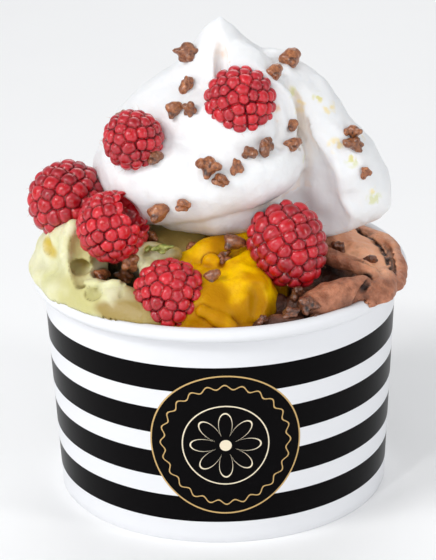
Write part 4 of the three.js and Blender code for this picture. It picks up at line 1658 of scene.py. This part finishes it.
    def build(self, scatter: CrunchScatter) -> None:
        """Makes the swirl and its crunch pieces.

        Args:
            scatter: what lays crunch pieces.
        """
        surface = self.surface
        points, faces = Net.over(self.low, self.high, self.step).skin(surface)
        points = settle(surface, points)
        swirl = new_piece("cream_swirl", points, faces)
        paint(swirl, "open", openness(surface, points, self.crease))
        paint_colour_patches(swirl, points, self.colour_patches)
        dress(swirl, CreamFinish().make(), "whipped_cream", "whipped_cream")
        scatter.lay("crunch_on_cream", self.bulk, self.crunch, 11, "whipped_cream")


class Flavour(Enum):
    """The three flavours of gelato."""

    PISTACHIO = "pistachio"
    MANGO = "mango"
    CHOCOLATE = "chocolate"


@dataclass(frozen=True)
class Gelato:
    """One flavour of gelato: its band of the filling, what is heaped on it, and its crunch pieces.

    Attributes:
        flavour: which it is.
        base: its band of the cup's filling.
        forms: what is heaped on the band or carved out, one after another.
        finish: its finish.
        lumps: the size and depth of each unevenness of its skin.
        crunch: x, y, z, width and height of each crunch piece.
        seed: the seed of its unevenness and its crunch pieces.
        fine: the thin folds and grooves on the whole.
        colour_patches: its smeared syrups, and its patches of painted shade and painted light.
        nuts: its chopped nuts, stated as the crunch pieces are.
        coated: the finish of its crunch pieces, where they are coated.
        step: the net's step.
        press: how far it is pressed into the raspberries' outlines.
        apart: how far it gives way to what lies on or beside it.
        crease: how deep the openness that sets its painted crease shade is read.
    """

    flavour: Flavour
    base: Band
    forms: tuple[Form, ...]
    finish: GelatoFinish
    lumps: tuple[tuple[float, float], ...]
    crunch: tuple[tuple[float, ...], ...]
    seed: int
    fine: tuple[Form, ...] = ()
    colour_patches: tuple[ColourPatch, ...] = ()
    nuts: tuple[tuple[float, ...], ...] = ()
    coated: Optional[CrunchFinish] = None
    step: float = 0.6
    press: float = 0.7
    apart: float = 0.6
    crease: float = 1.6

    REACH = 49.6  # how far the net goes to each side, in millimetres
    BURIED = (6.5, 8.5, 20, 36, 48)  # the net's few levels where the cup hides the gelato
    SHOWN = (52, 79)  # from where to where its levels are dense
    SETTLED = 52.5  # the level above which points are moved onto the surface

    @property
    def bulk(self) -> Distance:
        """The flavour's plain field, inside the cup."""
        heap = pile(self.forms, self.base.distance)
        return lambda points: np.maximum(heap(points), room_in_cup(points))

    def surface(self, others: Sequence[Distance]) -> Distance:
        """The flavour's field with its lumps, meeting what was laid before it.

        Args:
            others: the fields of the foods that it gives way to.

        Returns:
            The field.
        """
        heap = pile(self.forms + self.fine, self.base.distance)
        grains = [(Grain(size, self.seed + i), depth) for i, (size, depth) in enumerate(self.lumps)]

        def distance(points: np.ndarray) -> np.ndarray:
            """The distance from each point to the flavour."""
            uneven = sum(depth * grain.at(points) for grain, depth in grains)
            whole = np.maximum(heap(points) + uneven, room_in_cup(points))
            whole = np.maximum(whole, -self.press - berries_apart(points))
            for other in others:
                whole = np.maximum(whole, -self.apart - other(points))
            return whole

        return distance

    def build(self, scatter: CrunchScatter, others: Sequence[Distance]) -> None:
        """Makes the flavour and its crunch pieces.

        Args:
            scatter: what lays crunch pieces.
            others: the fields of the foods that it gives way to.
        """
        surface = self.surface(others)
        step = self.step * COARSE
        side = np.arange(-self.REACH, self.REACH + step, step)
        levels = np.concatenate([self.BURIED, np.arange(*self.SHOWN, step)])
        points, faces = Net(side, side, levels).skin(surface)
        shown = points[:, 2] > self.SETTLED
        points[shown] = settle(surface, points[shown])
        name = self.flavour.value
        piece = new_piece(f"{name}_scoop", points, faces)
        open_share = np.ones(len(points))
        open_share[shown] = openness(surface, points[shown], self.crease)
        paint(piece, "open", open_share)
        paint_colour_patches(piece, points, self.colour_patches)
        dress(piece, self.finish.make(), f"{name}_gelato", f"gelato_{name}")
        coated = self.coated.make() if self.coated else None
        slot = f"{name}_gelato"
        scatter.lay(f"crunch_on_{name}", self.bulk, self.crunch, self.seed, slot, coated)
        if self.nuts:
            nut = NutFinish().make()
            scatter.lay(f"nuts_on_{name}", self.bulk, self.nuts, self.seed + 1, slot, nut)


PISTACHIO = Gelato(
    Flavour.PISTACHIO,
    Band(-200, -4.2, 58),
    (
        Strand(((-38.5, 6, 61, 7.5), (-39.3, -4, 64, 7.5), (-37.5, -11, 68.5, 7),
                (-35.2, -16, 70.5, 6.5), (-33, -21, 67, 6)), 2),
        Strand(((-40, -8, 59, 6.5), (-34.5, -22.5, 60, 7.2), (-26.5, -31.5, 59.8, 6.6),
                (-18, -37.5, 58.5, 5.8)), 2.5),
        Blob((-10, -9, 62), (17, 12.5, 12), 2),
        Strand(((-44.5, 9, 60.5, 1.8), (-46.4, -2, 60.8, 2.3), (-44.8, -12, 60.8, 2.4),
                (-40.5, -22, 60.6, 2)), 2),
        Blob((-25, -24, 69.5), (7.4, 6.4, 8.4), 0.8, True),
        Strand(((-32.4, -20.5, 79, 3.6), (-33.8, -24, 73, 3.9), (-34.2, -26.6, 69, 3.6),
                (-33.8, -29, 66.4, 2.2)), 0.8, True),
        Blob((-31.8, -34.2, 65), (2.8, 2.6, 2.1), 0.5, True),
        Strand(((-18, -22, 70.4, 2.8), (-14, -24, 71, 2.4), (-11, -24.5, 71, 1.8)), 1),
        Strand(((-17.5, -25, 68, 2.6), (-15.5, -30, 65, 4.2)), 2),
        Strand(((-19.8, -25.6, 69.4, 1.3), (-20, -24.6, 71.6, 1.4), (-18.8, -24.6, 73, 1.3),
                (-16.2, -24.6, 73.4, 1.2), (-13.2, -25.2, 72.6, 1)), 0.5),
    ),
    # the third colour is the painted shade for the creases; the pistachio, olive and cocoa patches
    # are painted shade
    GelatoFinish("pistachio_gelato", tint(222, 220, 184), tint(206, 204, 152), tint(120, 106, 48),
                 (1.0, 0.9, 0.45), rough=0.38,
                 colour_patches=((PatchKind.PISTACHIO, tint(192, 186, 124)),
                         (PatchKind.MUSTARD, tint(196, 168, 22)),
                         (PatchKind.OLIVE_SHADE, tint(150, 124, 52)), (PatchKind.COCOA_SHADE, tint(44, 22, 12)))),
    ((7.0, 0.4), (2.6, 0.12)),
    ((-16.8, -15, 71.9, 3.6, 3.2), (-29.9, -21.5, 64.4, 4.6, 3.6), (-21.9, -26.1, 69.5, 4, 4.4),
     (-24.6, -18, 62.6, 4.4, 3.2)),
    23,
    fine=(
        Blob((-34.6, -22.6, 67.4), (2.7, 3, 1.9), 0.3, True),
        Strand(((-36.2, -17.6, 76.4, 1.7), (-38, -20, 73.4, 1.3), (-38.6, -22, 70.6, 1.1)), 1.6),
        Blob((-34.5, -29.4, 66.2), (2.2, 2, 1.5), 0.4, True),
        Strand(((-32.6, -30, 66, 1.1), (-30.4, -31.4, 66.3, 1.4), (-28.8, -31.8, 66.2, 0.9),
                (-26.4, -32.2, 66.6, 1.2), (-24, -32.2, 66.4, 0.9)), 0.5),
        Strand(((-23.4, -31, 67.4, 0.6), (-23.9, -34, 66.6, 0.8),
                (-24.4, -36.6, 65, 0.5)), 0.3, True),
        Blob((-44, -14.8, 70.2), (2.2, 3.2, 2.4), 0.8, True),
    ),
    colour_patches=(
        *patches(ColourPatch, PatchKind.MUSTARD, (-42.8, -16.6, 70, 3.6), (-42.8, -17, 69, 3.2),
                (-17.5, -25.8, 73, 1.6)),
        # painted shade: olive, under the cream's edge, in a hollow and low at the front
        *patches(ColourPatch, PatchKind.OLIVE_SHADE, (-8, -19, 72, 9), (-15, -17, 72, 7), (-1, -17, 72, 6),
                (-34.6, -23.5, 67.4, 3), (-15, -40, 61, 9), (-22, -40.5, 61, 8),
                (-28, -38.5, 61, 4.5)),
        # painted shade: near black, in the pocket
        *patches(ColourPatch, PatchKind.COCOA_SHADE, (-28, -11, 61.5, 8), (-24, -16, 62, 8), (-30, -19, 63.5, 4)),
        # painted shade on the trough's wall and low at the front
        *patches(ColourPatch, PatchKind.PISTACHIO, (-33.5, -22, 73, 6), (-34, -25, 69, 5), (-36, -32, 62, 9),
                (-31.6, -34, 64, 3.4), (-20, -30, 64, 5)),
    ),
    nuts=((-14, -26, 73.2, 4.4, 2.4), (-17.4, -26, 73.2, 1.8, 1.4)),
)

MANGO = Gelato(
    Flavour.MANGO,
    Band(-3.8, 22.9, 58),
    (
        Blob((-3, -28, 59), (14, 15, 9.5), 2),
        Blob((3, -16, 63), (14, 10, 10), 2),
        Blob((6, -30.5, 60.5), (8, 10.5, 9), 1),
        Strand(((-9, -22, 67, 3.4), (-1, -20.5, 69.6, 3.6), (7, -17.5, 70.6, 3.8)), 1.2),
        Strand(((4, -27, 66.5, 3.6), (9.5, -22.5, 67.5, 4), (12, -17, 68.5, 4)), 1),
        Blob((-2, -26.5, 69.3), (2, 2, 2.2), 0.8),
        Strand(((-6, -45, 64, 1.6), (1, -45, 63.6, 2), (7, -43.5, 62.6, 2)), 1.2, True),
        Strand(((-4.5, -42.2, 62.6, 1.3), (-1, -43, 60.8, 1.7), (2.6, -43.4, 59, 1.6)), 0.4),
    ),
    # the third colour is the painted shade for the creases; the golden-brown patches are painted
    # shade
    GelatoFinish("mango_gelato", tint(246, 200, 0), tint(204, 144, 0), tint(136, 74, 0),
                 (1.0, 0.6, 0.02), rough=0.4, shine=0.1,
                 colour_patches=((PatchKind.RASPBERRY, tint(206, 92, 16)), (PatchKind.CARAMEL_AND_SHADE, tint(176, 120, 2)))),
    ((5.5, 0.7), (2.4, 0.25)),
    ((-6, -19.9, 69.6, 2.6, 2.6), (3.2, -21, 71.7, 5.4, 4.6), (0.7, -23.1, 69.9, 3.4, 2.5),
     (1.6, -25.5, 68.2, 2.9, 2.6), (-1.9, -33.7, 67.8, 4, 4)),
    31,
    fine=(
        Strand(((6.5, -38.5, 69, 1.6), (9, -38, 65.6, 1.8), (9, -40.5, 62, 1.6)), 1.5, True),
        Strand(((-1, -35, 70.4, 1.6), (3, -38, 69.2, 1.8), (5.2, -41, 66, 1.6)), 1.5, True),
        Strand(((6, -26, 73, 1.2), (11, -25, 71.8, 1.4), (14, -26, 67, 1.4)), 1, True),
        Strand(((-8, -26.5, 71.4, 1), (-5, -24, 73, 1.2), (2, -22.5, 74.2, 1.2)), 0.8, True),
    ),
    colour_patches=(
        *patches(ColourPatch, PatchKind.RASPBERRY, (12.6, -25, 68, 3.4), (13.4, -25, 64.5, 3.4)),
        # painted shade: golden brown, low at the front and under the cream
        *patches(ColourPatch, PatchKind.CARAMEL_AND_SHADE, (6, -40, 60, 11), (-2, -39, 63, 9), (0, -18, 72, 5)),
    ),
)

CHOCOLATE = Gelato(
    Flavour.CHOCOLATE,
    Band(23.3, 200, 55),
    (
        Blob((30, -3, 55.5), (15, 17, 10.5)),
        Blob((34, -6, 56), (11.5, 15, 8.2), 1.5),
        Strand(((31, 18.5, 60.4, 2.8), (38.4, 9.6, 61.6, 2.7), (42.2, 3.6, 62, 2.6),
                (44.3, -3, 61.4, 2.5), (45.2, -9, 60.4, 2.4), (45, -14, 59.4, 2.4),
                (43.8, -19, 58.4, 2.6)), 0.3),
        Strand(((34, -30, 58, 3), (38.5, -26, 59.4, 3.8), (41, -20, 59.8, 4),
                (42, -14, 58.6, 3.4)), 1),
        Strand(((26, -15, 66.4, 2.2), (30, -17.4, 65.6, 2), (34.3, -19.4, 64.8, 2),
                (37.6, -21.2, 63.6, 2), (40.2, -22.6, 61.8, 1.9)), 0.4),
        Strand(((22.4, -35, 59.8, 3.6), (26, -33, 61, 4.3), (31, -30, 61.6, 4.2),
                (35, -27.2, 61.8, 3.2)), 0.5),
        Strand(((9.5, -41.4, 57.8, 2.2), (14, -40.6, 58.4, 2.2), (19, -39.6, 58.4, 2)), 0.5),
        Blob((14.6, -30.6, 59), (2.8, 2.8, 3.4), 0.4),
        Blob((18.6, -31.5, 58.6), (3, 3.4, 4.2), 0.4),
        Blob((16, -34.5, 52.5), (13, 9, 6)),
    ),
    # the third colour is the painted shade for the creases; the cocoa patches are painted shade, the
    # pale ones painted light
    GelatoFinish("chocolate_gelato", tint(188, 126, 96), tint(142, 88, 63), tint(40, 18, 10),
                 (1.0, 0.6, 0.4), rough=0.4, pores=0.4, cloud=2.4,
                 colour_patches=((PatchKind.COCOA_SHADE, tint(52, 24, 14)), (PatchKind.TOP_LIGHT, tint(248, 184, 144)))),
    ((4.5, 0.5), (1.9, 0.22), (1.1, 0.12)),
    ((30.4, -10, 67.2, 4, 4), (38.6, -12, 64.5, 3.4, 2.2), (19.1, -33, 63.6, 3.4, 3.8),
     (21.3, -38, 62.4, 5, 4.6), (16.9, -40, 60.2, 4.6, 2.8), (10, -42.2, 59.8, 3, 2),
     (23, -39.4, 59.4, 2.6, 2)),
    43,
    fine=(
        Strand(((33, 11, 64.8, 1.1), (37.1, 7.4, 65, 1.1), (40.3, 3, 64.9, 1),
                (42.4, -2, 64.2, 0.9), (43.6, -7, 63.1, 0.9), (43.8, -12, 61.9, 0.8),
                (43, -16, 61, 0.6)), 0.3, True),
        Strand(((28.6, -20.6, 64, 1.2), (33, -22.6, 63.2, 1.4), (37, -24.2, 62, 1.1)), 0.4, True),
        Strand(((37.4, -27.4, 64.4, 0.9), (34.6, -31.6, 62.4, 1.1),
                (33.4, -34, 59.4, 1.2)), 0.4, True),
        Strand(((28.6, -16.6, 68.4, 0.5), (33.4, -19, 67.3, 0.6),
                (38, -21.4, 65.6, 0.5)), 0.3, True),
        Strand(((23, -32.4, 65.4, 0.7), (28, -29.6, 66.2, 0.8), (33, -27, 66, 0.6)), 0.5, True),
    ),
    colour_patches=(
        # painted light on the top face
        *patches(ColourPatch, PatchKind.TOP_LIGHT, (36, -4, 65, 10), (39, -7, 64, 9), (33, 2, 66, 8)),
        # painted shade: near black, low at the front and under the cream and the raspberry
        *patches(ColourPatch, PatchKind.COCOA_SHADE, (12, -41.5, 58.5, 9), (16, -35, 60, 9), (19, -39.5, 58, 9),
                (17, -22, 61, 8), (25.5, -18, 61, 8), (30, -24.5, 61, 6)),
    ),
    coated=CrunchFinish("coated_crunch", tint(150, 92, 62), tint(96, 54, 34), tint(34, 14, 8)),
)


# ------------------------------------------------------------------ camera, light and floor


@dataclass(frozen=True)
class Lamp:
    """A soft square light that looks at a point of the cup."""

    name: str
    place: tuple[float, float, float]
    size: tuple[float, float]
    power: float

    def build(self, target: Vector) -> None:
        """Makes the light.

        Args:
            target: the point that it looks at.
        """
        light = bpy.data.lights.new(self.name, "AREA")
        light.shape = "RECTANGLE"
        light.size, light.size_y = self.size
        light.energy = self.power
        lamp = bpy.data.objects.new(self.name, light)
        lamp.location = self.place
        lamp.rotation_euler = (target - Vector(self.place)).to_track_quat("-Z", "Y").to_euler()
        bpy.context.scene.collection.objects.link(lamp)


@dataclass(frozen=True)
class Studio:
    """The camera, the lights and a plain pale floor."""

    elevation: float = math.radians(21.656)
    roll: float = math.radians(-1.193)
    distance: float = 0.672354
    target: tuple[float, float, float] = (-0.000457, 0.0, 0.054093)
    lens: float = 167.14
    sensor: float = 36.0
    floor_reach: float = 6000.0
    lamps_aim: tuple[float, float, float] = (0, 0, 0.06)
    sky: Colour = (0.95, 0.97, 1.0)
    sky_strength: float = 0.46
    lamps: tuple[Lamp, ...] = (
        Lamp("key", (-0.65, -0.4, 0.7), (0.36, 0.36), 4.2),
        Lamp("sparkle", (-0.3, -0.6, 0.8), (0.06, 0.06), 1.3),
        Lamp("front_fill", (-0.1, -0.95, 0.3), (0.7, 0.3), 1.7),
        Lamp("right_strip", (0.62, -0.35, 0.34), (0.14, 0.5), 1.5),
        Lamp("left_strip", (-0.62, -0.32, 0.22), (0.08, 0.5), 0.7),
        Lamp("back", (0.1, 0.7, 0.6), (0.6, 0.4), 2.0),
    )

    def camera(self) -> None:
        """Sets the camera where it looks down on the cup."""
        forward = Vector((0, math.cos(self.elevation), -math.sin(self.elevation)))
        up = Vector((0, math.sin(self.elevation), math.cos(self.elevation)))
        right = Vector((1, 0, 0))
        turned = right * math.cos(self.roll) + up * math.sin(self.roll)
        top = up * math.cos(self.roll) - right * math.sin(self.roll)
        place = Vector(self.target) - forward * self.distance
        data = bpy.data.cameras.new("camera")
        data.lens, data.sensor_width, data.clip_start = self.lens, self.sensor, 0.01
        camera = bpy.data.objects.new("camera", data)
        camera.matrix_world = Matrix((turned, top, -forward)).transposed().to_4x4()
        camera.location = place
        bpy.context.scene.collection.objects.link(camera)
        bpy.context.scene.camera = camera

    def floor(self) -> None:
        """Lays the floor."""
        signs = ((-1, -1, 0), (1, -1, 0), (1, 1, 0), (-1, 1, 0))
        floor = new_piece("floor", np.array(signs) * self.floor_reach, [(0, 1, 2, 3)])
        pale = PlainFinish("pale_floor", tint(244, 244, 244), tint(242, 242, 242), 0.6, 40)
        floor.data.materials.append(pale.make())

    def light(self) -> None:
        """Sets the lights and the sky."""
        for lamp in self.lamps:
            lamp.build(Vector(self.lamps_aim))
        world = bpy.data.worlds.new("sky")
        world.use_nodes = True
        background = world.node_tree.nodes["Background"]
        background.inputs["Color"].default_value = (*self.sky, 1)
        background.inputs["Strength"].default_value = self.sky_strength
        bpy.context.scene.world = world
        bpy.context.scene.view_settings.view_transform = "Standard"


def main() -> None:
    """Builds the studio and every piece."""
    logging.basicConfig(level=logging.INFO, format="%(name)s: %(message)s")
    studio = Studio()
    studio.camera()
    PaperCup().build()
    berry_finish = RaspberryFinish().make()
    hair_finish = PlainFinish("raspberry_hair", tint(214, 150, 110), tint(196, 120, 80), 0.4).make()
    for berry in RASPBERRIES:
        berry.build(berry_finish, hair_finish)
    scatter = CrunchScatter(CrunchFinish().make())
    cream = WhippedCream()
    cream.build(scatter)
    laid = [cream.bulk]
    for gelato in (PISTACHIO, MANGO, CHOCOLATE):
        gelato.build(scatter, tuple(laid))
        laid.append(gelato.bulk)
    studio.floor()
    studio.light()


if __name__ == "__main__":
    main()
